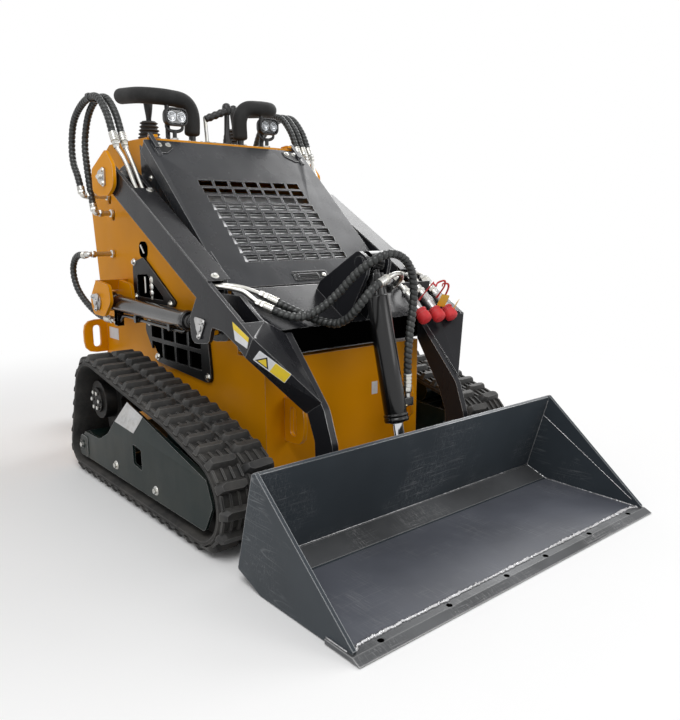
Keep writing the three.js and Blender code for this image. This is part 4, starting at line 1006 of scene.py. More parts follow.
class Stage:
    """The floor, lights, world and camera."""

    EYE = np.array([-1361.5, -1898.7, 823.2])
    YAW = math.radians(40.37)
    PITCH = math.radians(11.43)
    LENS = 35.375
    SENSOR = 36.0
    SHIFT = (-0.00625, 0.0094)
    FLOOR_Z = -1.5
    FLOOR_REACH = 30000
    FADE = (1.2, 2.9)
    SIDE_LIGHT = 0.55

    @staticmethod
    def stand(name: str, data: bpy.types.ID, place: Place, look: Vector) -> bpy.types.Object:
        """Puts a camera or a lamp on the stage.

        Args:
            name: Its name.
            data: The camera or the lamp.
            place: Its place in metres.
            look: The direction in which it looks.

        Returns:
            Its object.
        """
        thing = bpy.data.objects.new(name, data)
        bpy.context.scene.collection.objects.link(thing)
        thing.location = place
        thing.rotation_mode = "QUATERNION"
        thing.rotation_quaternion = look.to_track_quat("-Z", "Y")
        return thing

    def camera(self) -> None:
        """The viewing camera, ahead of the bucket and to the machine's right."""
        data = bpy.data.cameras.new("view")
        data.lens, data.sensor_width = self.LENS, self.SENSOR
        data.shift_x, data.shift_y = self.SHIFT
        data.clip_start, data.clip_end = 0.05, 60.0
        level = math.cos(self.PITCH)
        look = Vector((math.sin(self.YAW) * level, math.cos(self.YAW) * level, -math.sin(self.PITCH)))
        bpy.context.scene.camera = self.stand("view", data, metres(self.EYE), look)

    def lamp(self, name: str, place: Triple, aim: Triple, size: float, power: float) -> None:
        """A soft square white lamp, with places in metres."""
        data = bpy.data.lights.new(name, "AREA")
        data.size, data.energy = size, power
        self.stand(name, data, place, Vector(aim) - Vector(place))

    def world(self) -> None:
        """White for the camera, glossy and clear rays, softer as a light."""
        world = bpy.data.worlds.new("studio")
        world.use_nodes = True
        bpy.context.scene.world = world
        bench = Bench(world.node_tree)
        strength = bench.maths("MULTIPLY_ADD", bench.seen(), 1 - self.SIDE_LIGHT)
        strength.node.inputs[2].default_value = self.SIDE_LIGHT
        back = world.node_tree.nodes["Background"]
        bench.feed(back.inputs["Color"], (1.0, 1.0, 1.0))
        bench.feed(back.inputs["Strength"], strength)

    def floor(self) -> None:
        """A wide pale floor that keeps the shadow near the machine and fades to white round it.

        Rows of rings round the middle, at radii that grow by squares. The finish turns from matt
        paint to an even white glow between the two distances of FADE, in metres from the middle,
        for camera, glossy and clear rays only.
        """
        rows, sides = 14, 64
        rings = np.linspace(0.02, 1, rows)[:, None] ** 2 * self.FLOOR_REACH
        turn = turns(sides)[None, :]
        level = np.full((rows, sides), self.FLOOR_Z)
        points = np.stack([rings * np.cos(turn), rings * np.sin(turn), level], -1).reshape(-1, 3)
        faces = grid_faces(rows, sides, False, True)[:, ::-1].tolist() + [list(range(sides))]
        floor = new_object("floor", points, faces)
        material = bpy.data.materials.new("pale_floor")
        material.use_nodes = True
        bench = Bench(material.node_tree)
        shader = material.node_tree.nodes["Principled BSDF"]
        place = bench.place()
        bench.feed(shader.inputs["Base Color"], bench.mix(bench.noise(place, 1.5), (0.9,) * 3, (0.93,) * 3))
        bench.feed(shader.inputs["Roughness"], 0.8)
        bench.feed(shader.inputs["Specular IOR Level"], 0.1)
        far = bench.add("VectorMath", {0: place}, operation="LENGTH").outputs["Value"]
        share = bench.times(bench.ramp(far, *self.FADE, "SMOOTHSTEP"), bench.seen())
        glow = bench.add("Emission", {"Color": (1.0, 1.0, 1.0), "Strength": 1.0}).outputs[0]
        both = bench.add("MixShader", {0: share, 1: shader.outputs[0], 2: glow}).outputs[0]
        bench.feed(material.node_tree.nodes["Material Output"].inputs["Surface"], both)
        floor.data.materials.append(material)

    def build(self) -> None:
        """Puts up the whole stage."""
        self.camera()
        self.world()
        self.floor()
        self.lamp("key", (-2.0, -2.0, 3.9), (0.0, -0.1, 0.5), 2.2, 82)
        self.lamp("rim", (2.8, 1.2, 3.0), (0.0, 0.0, 0.6), 2.0, 60)
        self.lamp("front", (1.6, -3.4, 1.8), (0.0, -0.4, 0.4), 1.6, 18)
        bpy.context.scene.view_settings.view_transform = "Standard"
        LOG.info("stage ready")


# ---------------------------------------------------------------- hydraulics

BODY_SIDE = 300.0
BLEND_PIVOT = ((690, 1150), (400, 1150))


@dataclass(frozen=True)
class Hose:
    """A guarded hydraulic hose between two bodies, from its first fitting to its last."""

    name: str
    route: Sequence[Place]
    bodies: tuple[str, str]
    ends: tuple[Triple, Triple]
    stands_for: str
    guard_sides: int = 15
    guard_step: float = 3.0
    groove_depth: float = 2.4

    def build(self) -> None:
        """The guard's bands wind round the hose: the groove's phase is rows / 5 + sides / 15, so it
        climbs one turn in five rows, and its depth rises where the phase is within 0.2 of a whole
        number.
        """
        rough = smooth_path(self.route, 600)
        path = smooth_path(self.route, int(round(length_of(rough) / self.guard_step)) + 1)
        phase = np.arange(len(path))[:, None] / 5 + np.arange(self.guard_sides)[None, :] / self.guard_sides
        groove = np.clip((np.abs(phase % 1 - 0.5) - 0.3) / 0.13, 0, 1)
        shape = tube(path, HOSE - self.groove_depth * groove, self.guard_sides)
        piece = dress(new_object(self.name, shape.points, shape.faces, 60), GUARDED_HOSE)
        piece.data.attributes.new("groove", "FLOAT", "POINT").data.foreach_set("value", groove.ravel())
        places = metres(path)
        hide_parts(self.stands_for)
        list(map(tuple, metres(self.ends)))
        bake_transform(piece)


@dataclass(frozen=True)
class PivotRow:
    """One hose row over the arm's pivot: its distances from the middle, fitting and reach backwards."""

    low: float
    high: float
    fitting: Pair
    back: float

    def route(self) -> np.ndarray:
        """Up and back from the body's fitting, over the top and down to the arm."""
        y, z = self.fitting
        middle, turn = (self.low + self.high) / 2, self.back - 34
        return np.array([
            (self.low, y + 8, z + 22), (self.low, y + (self.back - y) * 0.45, z + 70), (self.low, self.back - 8, 1040),
            (middle, self.back, 1105), (middle, turn, 1175), (middle, (turn + 560) / 2 + 2, 1218),
            *((self.high, y, z) for y, z in ((560, 1238), (488, 1228), (428, 1174), (391, 1110)))])


@dataclass(frozen=True)
class PipeRun:
    """One steel pipe in an arm's channel: its distance from the middle and its way out at the foot."""

    x: float
    out: tuple
    ferrule: Triple | None = None


@dataclass
class Hydraulics:
    """Guarded hoses, steel pipes, port blocks and quick couplers."""

    rows: dict[Side, tuple[PivotRow, ...]] = field(default_factory=lambda: {
        Side.RIGHT: (PivotRow(398, 392, (671, 920), 744), PivotRow(368, 362, (645, 860), 698)),
        Side.LEFT: (PivotRow(400, 396, (671, 920), 744), PivotRow(371, 368, (645, 860), 712),
                    PivotRow(342, 340, (655, 800), 684)),
    })
    pipes: dict[Side, tuple[PipeRun, ...]] = field(default_factory=lambda: {
        Side.RIGHT: (
            PipeRun(378, ((-198, 657), (368, -214, 655), (344, -232, 650), (322, -250, 642), (311, -274, 626),
                          (300, -296, 610)), (276, -326, 594)),
            PipeRun(356, ((-192, 660), (344, -208, 657), (318, -224, 652), (290, -240, 642), (262, -258, 628)),
                    (234, -288, 608))),
        Side.LEFT: (
            PipeRun(382, ((-204, 657), (368, -224, 656), (344, -242, 658), (334, -262, 662))),
            PipeRun(366, ((-198, 659), (350, -214, 657), (316, -232, 657), (284, -252, 660))),
            PipeRun(350, ((-190, 662), (334, -200, 659), (294, -216, 657), (226, -246, 660)))),
    })
    channel: tuple = ((330, 1010), (250, 910), (190, 868), (20, 769), (-150, 676))
    clamps: tuple = ((150, 845), (-60, 725))
    couplers: tuple[float, ...] = (332, 276, 213)
    tilt_lower: tuple = (
        (-275.7, -326.3, 593.8), (-256, -350, 582), (-228, -370, 576), (-192, -380, 582), (-155, -394, 603),
        (-122, -418, 640), (-94, -450, 686), (-60, -486, 726), (-14, -505, 744), (34, -508, 730), (66, -507, 694),
        (78, -506, 645), (76, -506, 590), (64, -508, 530), (54, -512, 465), (52, -513, 400))
    tilt_upper: tuple = (
        (-233.7, -288.3, 607.8), (-210, -314, 592), (-184, -346, 574), (-156, -382, 560), (-136, -420, 555),
        (-125, -454, 570), (-118, -479, 593), (-108, -496, 618), (-93, -505, 641), (-74, -507, 657), (-50, -506, 668))
    lift: tuple = ((400, 700, 711), (402, 736, 710), (404, 771, 694), (406, 792, 660), (404, 792, 618), (400, 768, 576),
                   (390, 720, 534), (376, 660, 500), (366, 600, 487))
    base_pipe: tuple = ((-21.4, -505, 679.3), (6, -503, 688), (36, -495, 686), (56, -477, 673), (60, -457, 657),
                        (55, -445, 645), (42, -443, 641))
    lift_port: Pair = (366.5, 487)

    def hoses(self) -> None:
        """Makes every hose."""
        for side in Side:
            way = [side.value, 1, 1]
            for number, row in enumerate(self.rows[side]):
                ends = tuple((side.value * row.high, *place) for place in BLEND_PIVOT)
                Hose(f"pivot_hose_{side.tag}_{number + 1}", row.route() * way, ("chassis", "arms"), ends,
                     f"pivot_hoses_{side.tag}").build()
            ends = tuple((side.value * 390.0, *place) for place in ((760, 570), (610, 490)))
            Hose(f"lift_hose_guard_{side.tag}", np.array(self.lift) * way, ("chassis", "lift_tube_" + side.word), ends,
                 f"lift_hose_{side.tag}").build()
        for name, node, route, x in (("rod_end", "lower", self.tilt_lower, 40),
                                     ("base_end", "upper", self.tilt_upper, -60)):
            Hose(f"tilt_hose_{name}", route, ("arms", "tilt_tube_body"), ((-200, -500, 600), (x, -500, 600)),
                 f"tilt_hose_{node}").build()

    @staticmethod
    def elbow_fitting(x: float, fitting: Pair, toward: Pair, long: float) -> tuple[list[Shape], list[Shape]]:
        """A fitting on the body's side: adapter, swivel elbow, and the hose's crimped end.

        Args:
            x: The hose's distance from the middle.
            fitting: Where the adapter leaves the body, as (y, z).
            toward: The hose's first direction, as (y, z).
            long: The crimped end's length.

        Returns:
            The adapter's parts, and the elbow's and the hose end's.
        """
        y, z = fitting
        way = np.array([0.0, *toward]) / math.hypot(*toward)
        corner = np.array([x, y, z], float)
        bend = smooth_path([corner - [16, 0, 0], corner - [6, 0, 0], corner + way * 6, corner + way * 16], 12)
        adapter = [nut((BODY_SIDE + 0.6, y, z), (312, y, z), 15.5), rod((310, y, z), (x - 20, y, z), 9.0),
                   nut((x - 30, y, z), (x - 15, y, z), 13.5)]
        return adapter, [tube(bend, 9.0, 16), nut(corner + way * 8, corner + way * 20, 13.5),
                         ferrule(corner + way * 19, corner + way * (19 + long))]

    def body_fittings(self) -> None:
        """The fittings on the body's sides and the clamps over the hose loops."""
        for side in Side:
            rows = self.rows[side]
            parts = [self.elbow_fitting(row.low, row.fitting, (16, 44), 16.0) for row in rows]
            parts.append(self.elbow_fitting(400, (659, 715), (49, -6), 18.0))
            for number, name in enumerate(("side_adapters", "side_fittings")):
                add_piece(name, [shape for pair in parts for shape in pair[number]], ZINC, side=side)
            strap = round_box((rows[-1].high - 14, rows[0].high + 14), (1224, 1252), 10)
            band = prism(strap, -8, 8, 1.5).turned(FLAT_TO_XZ).moved((0, 560, 0)).on(side)
            clamp = solid(f"loop_clamp_{side.tag}", band, PLATE_BLACK)
            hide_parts(f"pivot_hoses_{side.tag}")
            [tuple(metres((0, *place))) for place in BLEND_PIVOT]
            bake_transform(clamp)

    @staticmethod
    def coupler_at(x: float, distance: float) -> Triple:
        """A place on a coupler's line, by its distance forward and down."""
        return (x, -334 - 0.74 * distance, 624 - 0.673 * distance)

    def arm_pipes(self) -> None:
        """The pipes in both arms with their end fittings and clamps."""
        for side in Side:
            steel, ends, clamps = [], [], []
            for number, run in enumerate(self.pipes[side]):
                high = self.rows[side][number].high
                leave, *out = run.out
                route = [(high, 365, 1065), *((run.x, *place) for place in self.channel), (run.x, *leave), *out]
                top, foot = (high, 391, 1110), (high, 362, 1060)
                knee, neck = between(top, foot, 0.58), between(top, foot, 0.8)
                ends += [ferrule(top, knee), nut(knee, neck), nut(neck, foot, 10.5)]
                if run.ferrule:
                    at = [between(route[-1], run.ferrule, share) for share in (-0.3, 0.05, 0.35, 0.33)]
                    ends += [nut(at[0], at[1], 11.5), nut(at[1], at[2], 13), ferrule(at[3], run.ferrule)]
                else:
                    x = self.couplers[number]
                    route += [self.coupler_at(x, -53), self.coupler_at(x, -36)]
                    ends.append(nut(self.coupler_at(x, -50), self.coupler_at(x, -34)))
                steel.append(tube(smooth_path(route, 150), PIPE, 16))
            first = self.pipes[side][0].x
            for y, z in self.clamps:
                clamps.append(box_shape((342.4, first + 8), (y - 9, y + 9), (z - 7, z + 7), 2.5))
                clamps.append(hex_bolt((first - 11, y, z + 7), UP, 9))
            add_piece("arm_pipes", steel, ZINC, "arms", "arm_lines", side=side)
            add_piece("arm_pipe_ends", ends, ZINC, "arms", side=side)
            add_piece("arm_pipe_clamps", clamps, PLATE_BLACK, "arms", side=side)

    def tilt_fittings(self) -> None:
        """The tilt cylinder's hose ends, port blocks and base pipe, and the lift cylinders' ports."""
        x, y, end = self.tilt_lower[-1]
        sleeve, crimp, collar, neck, pipe, foot = ((x, y, end + up) for up in (6, -34, -33, -50, -62, -72))
        silver = [ferrule(sleeve, crimp), nut(collar, neck, 13.5), rod(neck, pipe, 9),
                  tube(smooth_path([pipe, foot, (48, y, 319), (38, y, 316)], 12), 9, 16)]
        at = [between(self.tilt_upper[-1], (-22, -505, 679), share) for share in (-0.2, 0.7, 0.68, 1.05)]
        silver += [ferrule(at[0], at[1]), nut(at[2], at[3], 13), tube(smooth_path(self.base_pipe, 50), PIPE, 16)]
        gold = [nut((44, y, 316), (33, y, 316), 13), rod((34, y, 316), (27, y, 316), 8)]
        blocks = [box_shape((20, 34), (-525, -501), (303, 330), 2), box_shape((20, 46), (-452, -434), (629, 653), 2)]
        add_piece("tilt_hose_ends", silver, ZINC, "tilt_tube_body")
        add_piece("tilt_adapters", gold, GOLD_ZINC, "tilt_tube_body")
        add_piece("tilt_port_blocks", blocks, CYLINDER_BLACK, "tilt_tube_body")
        x, z = self.lift_port
        at = [(x, y, z) for y in (606, 560, 562, 545, 546, 520, 522, 502)]
        ports = [ferrule(at[0], at[1]), nut(at[2], at[3], 13.5), rod(at[4], at[5], 9), nut(at[6], at[7], 13)]
        block = box_shape((x - 12, x + 12), (478, 502), (473, 530), 2.5)
        for side in Side:
            add_piece("lift_hose_end", ports, ZINC, "lift_tube_" + side.word, side=side)
            add_piece("lift_port_block", block, CYLINDER_BLACK, "lift_tube_" + side.word, side=side)

    def quick_couplers(self) -> None:
        """Three capped couplers in their plate, with the caps' straps and paper tags."""
        bodies, sleeves, caps = [], [], []
        sleeve = [(0, 0), (13, 0), (15, 2), (15, 9)]
        for ring in range(6):
            sleeve += [(13.8, 11 + ring * 4), (15, 12.5 + ring * 4), (15, 13.5 + ring * 4)]
        sleeve += [(15, 44), (14, 46), (14, 60), (0, 60)]
        cap = [(0, 0), (17, 0), (20.5, 1.5), (20.5, 6), (18, 8), (18, 15), (21, 17), (21, 34), (19.5, 39), (15, 42.5),
               (8, 44), (0, 44.3)]
        for x in self.couplers:
            at = [self.coupler_at(x, distance) for distance in (-35, -12, 8, 20, -13, 70, 30, 102, 92, 152)]
            bodies += [nut(at[0], at[1], 15), nut(at[2], at[3], 14.5), rod(at[4], at[5], 12)]
            sleeves.append(lathe(sleeve, at[6], at[7], 30))
            caps.append(lathe(cap, at[8], at[9], 36))
        knot = (254, -430, 636)
        caps += [self.strap((332, -394, 592), (308, -430, 640), (280, -432, 636), 0.0),
                 self.strap((300, -392, 596), (280, -440, 652), knot, 6.0),
                 self.strap((218, -394, 594), (232, -438, 648), knot, -4.0)]
        plate = rounded([[-338, 618, 2], [-338, 644, 6], [-330, 644, 6], [-330, 598, 2], [-338, 596, 2]], 4)
        add_piece("coupler_plate", side_plate(plate, 206, 326, 1.2), PLATE_BLACK, "arms", "quick_couplers")
        add_piece("coupler_bodies", bodies, ZINC, "arms")
        add_piece("coupler_sleeves", sleeves, STEEL, "arms")
        add_piece("coupler_caps", caps, CAP_RED, "arms", smooth=50)
        tags = [self.tag((345, -430, 568), 0.5), self.tag((288, -430, 590), -0.3)]
        add_piece("coupler_tags", tags, TAG_YELLOW, "arms")

    @staticmethod
    def strap(start: Triple, top: Triple, end: Triple, lean: float) -> Shape:
        """A moulded strap: an oval section carried along a loop from a cap's rim, thicker at first.

        Args:
            start: Its place on the cap's rim.
            top: The highest part of its loop.
            end: Its other end.
            lean: How far the loop's first half leans sideways.

        Returns:
            The strap.
        """
        middle = between(start, top, 0.55) + [lean, -8, 6]
        back = between(top, end, 0.6) + [0, 6, 4]
        swell = 1 + 0.5 * np.clip(1 - np.arange(40) / 6, 0, 1)
        return tube(smooth_path([start, middle, top, back, end], 40), swell[:, None] * oval(3.4, 3.4 / 1.9), 12)

    @staticmethod
    def tag(place: Triple, turn: float) -> Shape:
        """A thin hanging tag with round corners, turned about the vertical and leaning forward."""
        c, s = math.cos(turn), math.sin(turn)
        basis = np.array([[c, s * 0.7, s * 0.7], [0, -0.5, 0.86], [s, -c, 0.0]])
        return prism(round_box((-15, 15), (-22, 22), 5, 4), -0.5, 0.5, 0.2).turned(basis).moved(place)

    def build(self) -> None:
        """Makes the whole circuit, hoses first."""
        self.hoses()
        self.body_fittings()
        self.arm_pipes()
        self.tilt_fittings()
        self.quick_couplers()


# ---------------------------------------------------------------- tracks

SKIRT_OUTER = 552.0


@dataclass(frozen=True)
class Wheel:
    """A wheel that the belt's inner line runs round."""

    y: float
    z: float
    r: float


@dataclass
class Tracks:
    """Rubber belts with two rows of tread blocks, on green frames with bolts and a bright top that is a painted
    reflection.
    """

    wheels: tuple[Wheel, ...] = (Wheel(-376, 141, 99), Wheel(430, 88, 46), Wheel(300, 268, 108), Wheel(-200, 246, 45))
    middle: float = 472.0
    width: float = 180.0
    belt: float = 22.0
    lug: float = 20.0
    links: int = 42

    def inner_line(self) -> tuple[np.ndarray, np.ndarray, np.ndarray]:
        """A string drawn tight round the wheels.

        Between two wheels the string's outward normal is lean * along + sqrt(1 - lean^2) * right,
        with lean = (r1 - r2) / distance; on a wheel the normal turns evenly from one to the next.

        Returns:
            Distances along the string, its places (y, z) and its outward normals.
        """
        leaves = []
        for wheel, after in zip(self.wheels, self.wheels[1:] + self.wheels[:1]):
            way = np.array([after.y - wheel.y, after.z - wheel.z])
            lean = (wheel.r - after.r) / np.linalg.norm(way)
            way = unit(way)
            leaves.append(lean * way + math.sqrt(1 - lean**2) * np.array([way[1], -way[0]]))
        places, normals = [], []
        for number, wheel in enumerate(self.wheels):
            arrive, leave = leaves[number - 1], leaves[number]
            start = math.atan2(arrive[1], arrive[0])
            sweep = (math.atan2(leave[1], leave[0]) - start) % (2 * math.pi)
            angle = start + sweep * np.linspace(0, 1, 60)
            normals.append(np.stack([np.cos(angle), np.sin(angle)], 1))
            places.append(normals[-1] * wheel.r + [wheel.y, wheel.z])
        places, normals = (np.concatenate([*arcs, arcs[0][:1]]) for arcs in (places, normals))
        return run_of(places), places, normals

    def on_belt(self, distance: np.ndarray, height: np.ndarray) -> tuple[np.ndarray, np.ndarray]:
        """Places on the belt.

        Args:
            distance: Distances along the string, in an array of any shape.
            height: Heights over the string, in the same shape.

        Returns:
            The places' Y and Z.
        """
        run, places, normals = self.inner_line()
        at = np.asarray(distance, float) % run[-1]
        place, normal = along(at, run, places), along(at, run, normals)
        normal /= np.linalg.norm(normal, axis=-1)[..., None]
        return place[..., 0] + normal[..., 0] * height, place[..., 1] + normal[..., 1] * height

    def length(self) -> float:
        """The string's length."""
        return float(self.inner_line()[0][-1])

    def belt_shape(self) -> Shape:
        """The belt: a round-edged section carried along the string, thinner at its rims.

        Its outer face dips by 2.5 mm along the middle and between links by 1.5 mm, so the carcass
        reads under the blocks.
        """
        rows, half, dip = self.links * 8, self.width / 2, 1.5
        distance = np.arange(rows) * self.length() / rows
        section = np.array([
            (-half + 4, 3), (-half, 7), (-half, 15), (-half + 5, 20), (-half + 16, 22), (-48, 22), (-7, 22), (-4, 19.5),
            (4, 19.5), (7, 22), (48, 22), (half - 16, 22), (half - 5, 20), (half, 15), (half, 7), (half - 4, 3),
            (half - 20, 0), (34, 0), (-34, 0), (-half + 20, 0)])
        low = dip * (np.arange(rows) % 4 == 2)[:, None] * (section[None, :, 1] > 18)
        y, z = self.on_belt(np.repeat(distance[:, None], len(section), 1), section[None, :, 1] - low)
        x = np.broadcast_to(section[None, :, 0] + self.middle, y.shape)
        return Shape(np.stack([x, y, z], -1).reshape(-1, 3), grid_faces(rows, len(section), True, True).tolist())

    def blocks(self) -> Shape:
        """The tread blocks, all bent along the string at once.

        A block's outline is a bar with slanting ends; it is carried up through four levels, flared
        at the foot and drawn in at the top. Four low ribs join each block to the next one.
        """
        pitch = self.length() / self.links
        bar = rounded([[-43, -10, 4], [28, -13, 5], [44, -6, 4], [43, 10, 4], [-28, 13, 5], [-44, 6, 4]], 2)
        levels = np.array([(1.1, 0.0), (1.0, 4.0), (0.72, 17.0), (0.6, self.lug - 0.4)])
        rib, rib_levels = round_box((-4, 4), (-13, 13), 2, 1) * [0.9, 1.3], np.array([(1.0, 0.0), (0.8, 6.5)])
        parts = []
        for sign in (-1, 1):
            foot = (np.arange(self.links) + (0.0 if sign < 0 else 0.5)) * pitch
            parts.append(self._spread(bar * [1, sign], levels, foot, sign * 45.0))
            for offset in (-36.0, -12.0, 12.0, 36.0):
                parts.append(self._spread(rib, rib_levels, foot + pitch / 2, sign * (45.0 + offset)))
        return joined(parts)

    def _spread(self, outline: np.ndarray, levels: np.ndarray, places: np.ndarray, x: float) -> Shape:
        """One outline, drawn in level by level, at every place along the string.

        Args:
            outline: Points across and along the belt, shape (n, 2).
            levels: Rows (share of the outline, height over the belt).
            places: Distances along the string.
            x: The outline's distance from the belt's middle.

        Returns:
            All the copies in one shape.
        """
        count, rings = len(outline), len(levels)
        across = outline[None, None, :, 0] * np.sqrt(levels[None, :, 0, None])
        reach = outline[None, None, :, 1] * levels[None, :, 0, None] + places[:, None, None]
        height = np.broadcast_to(levels[None, :, 1, None] + self.belt - 0.6, reach.shape)
        y, z = self.on_belt(reach, height)
        points = np.stack([np.broadcast_to(self.middle + x + across, y.shape), y, z], -1).reshape(-1, 3)
        starts = (np.arange(len(places)) * rings * count)[:, None]
        quads = (grid_faces(rings, count, False, True)[None] + starts[:, None]).reshape(-1, 4).tolist()
        top = np.arange(count)[None] + starts + (rings - 1) * count
        return Shape(points, quads + top.tolist() + (top - (rings - 1) * count)[:, ::-1].tolist())

    def hardware(self, side: Side) -> None:
        """Axle bolts, the hub's plate and bolts, and a bright steel sheet along the frame's top that is a painted
        reflection.

        Args:
            side: The machine's side.
        """
        hub, wheel = (405, 98), self.wheels[2]
        heads = bolts(SKIRT_OUTER, ((137, 95), (-134, 92)), 14) + bolts(SKIRT_OUTER + 3, (hub,), 14)
        circle = [(wheel.y + 27 * math.cos(turn), wheel.z + 27 * math.sin(turn)) for turn in turns(6)]
        add_piece("axle_bolts", heads + bolts(538, circle, 12, False), ZINC, side=side)
        y = hub[0]
        plate = rounded([[y - 40, 60, 18], [y + 26, 60, 18], [y + 30, 98, 14], [y + 10, 132, 14], [y - 40, 132, 12]], 5)
        add_piece("hub_plate", side_plate(plate, SKIRT_OUTER, SKIRT_OUTER + 3), FRAME_GREEN, side=side)
        # A steel sheet on the frame's sloping top whose brightness is painted reflection.
        add_piece("skirt_top", self.skirt_top(0.24), STEEL, side=side)

    @staticmethod
    def skirt_top(share: float) -> Shape:
        """A bright steel sheet on the rear share of the frame's sloping top, where a white reflection falls: painted
        reflection.

        Its foot follows the skirt's upper edge and its head the slope's upper edge; X falls by 0.392
        of the height above the foot, as the slope does, and the sheet stands 0.6 mm proud.

        Args:
            share: The covered share of the slope's length, from its rear.

        Returns:
            The sheet.
        """
        fall, proud, sunk = 0.392, 0.6, 1.5
        foot = [between((SKIRT_OUTER, 128, 236.0), (SKIRT_OUTER, -421, 203.0), at) for at in (0.0, share)]
        head = [between((0, 89, 299.5), (0, -400, 212.4), at) for at in (0.0, share)]
        head = [(SKIRT_OUTER - fall * rise, *place[1:]) for rise, place in zip((65.5, 52.0), head)]
        corners = np.array([*foot, *head[::-1]])
        out = np.array([0.93, 0.0, 0.37])
        points = np.concatenate([corners + out * proud, corners - out * sunk])
        sides = [[k, (k + 1) % 4, (k + 1) % 4 + 4, k + 4] for k in range(4)]
        return Shape(points, [[3, 2, 1, 0], [4, 5, 6, 7], *sides])

    def build(self) -> None:
        """Makes both tracks and dresses their frames."""
        belt, blocks = self.belt_shape(), self.blocks()
        for side in Side:
            add_piece("rubber_belt", belt, BELT_RUBBER, "chassis", "track", 38, side)
            add_piece("tread_blocks", blocks, TRACK_RUBBER, "chassis", "track", 38, side)
            self.hardware(side)


# ---------------------------------------------------------------- controls and pads

DECK_TOP = 1098.3


def round_ends(run: np.ndarray, reach: float) -> np.ndarray:
    """Shares from 0 to 1 that round both ends of a bar off within a reach, as a quarter circle does."""
    near = np.clip(np.minimum(run, run[-1] - run) / reach, 0, 1)
    return np.sqrt(np.clip(1 - (1 - near) ** 2, 0, 1))


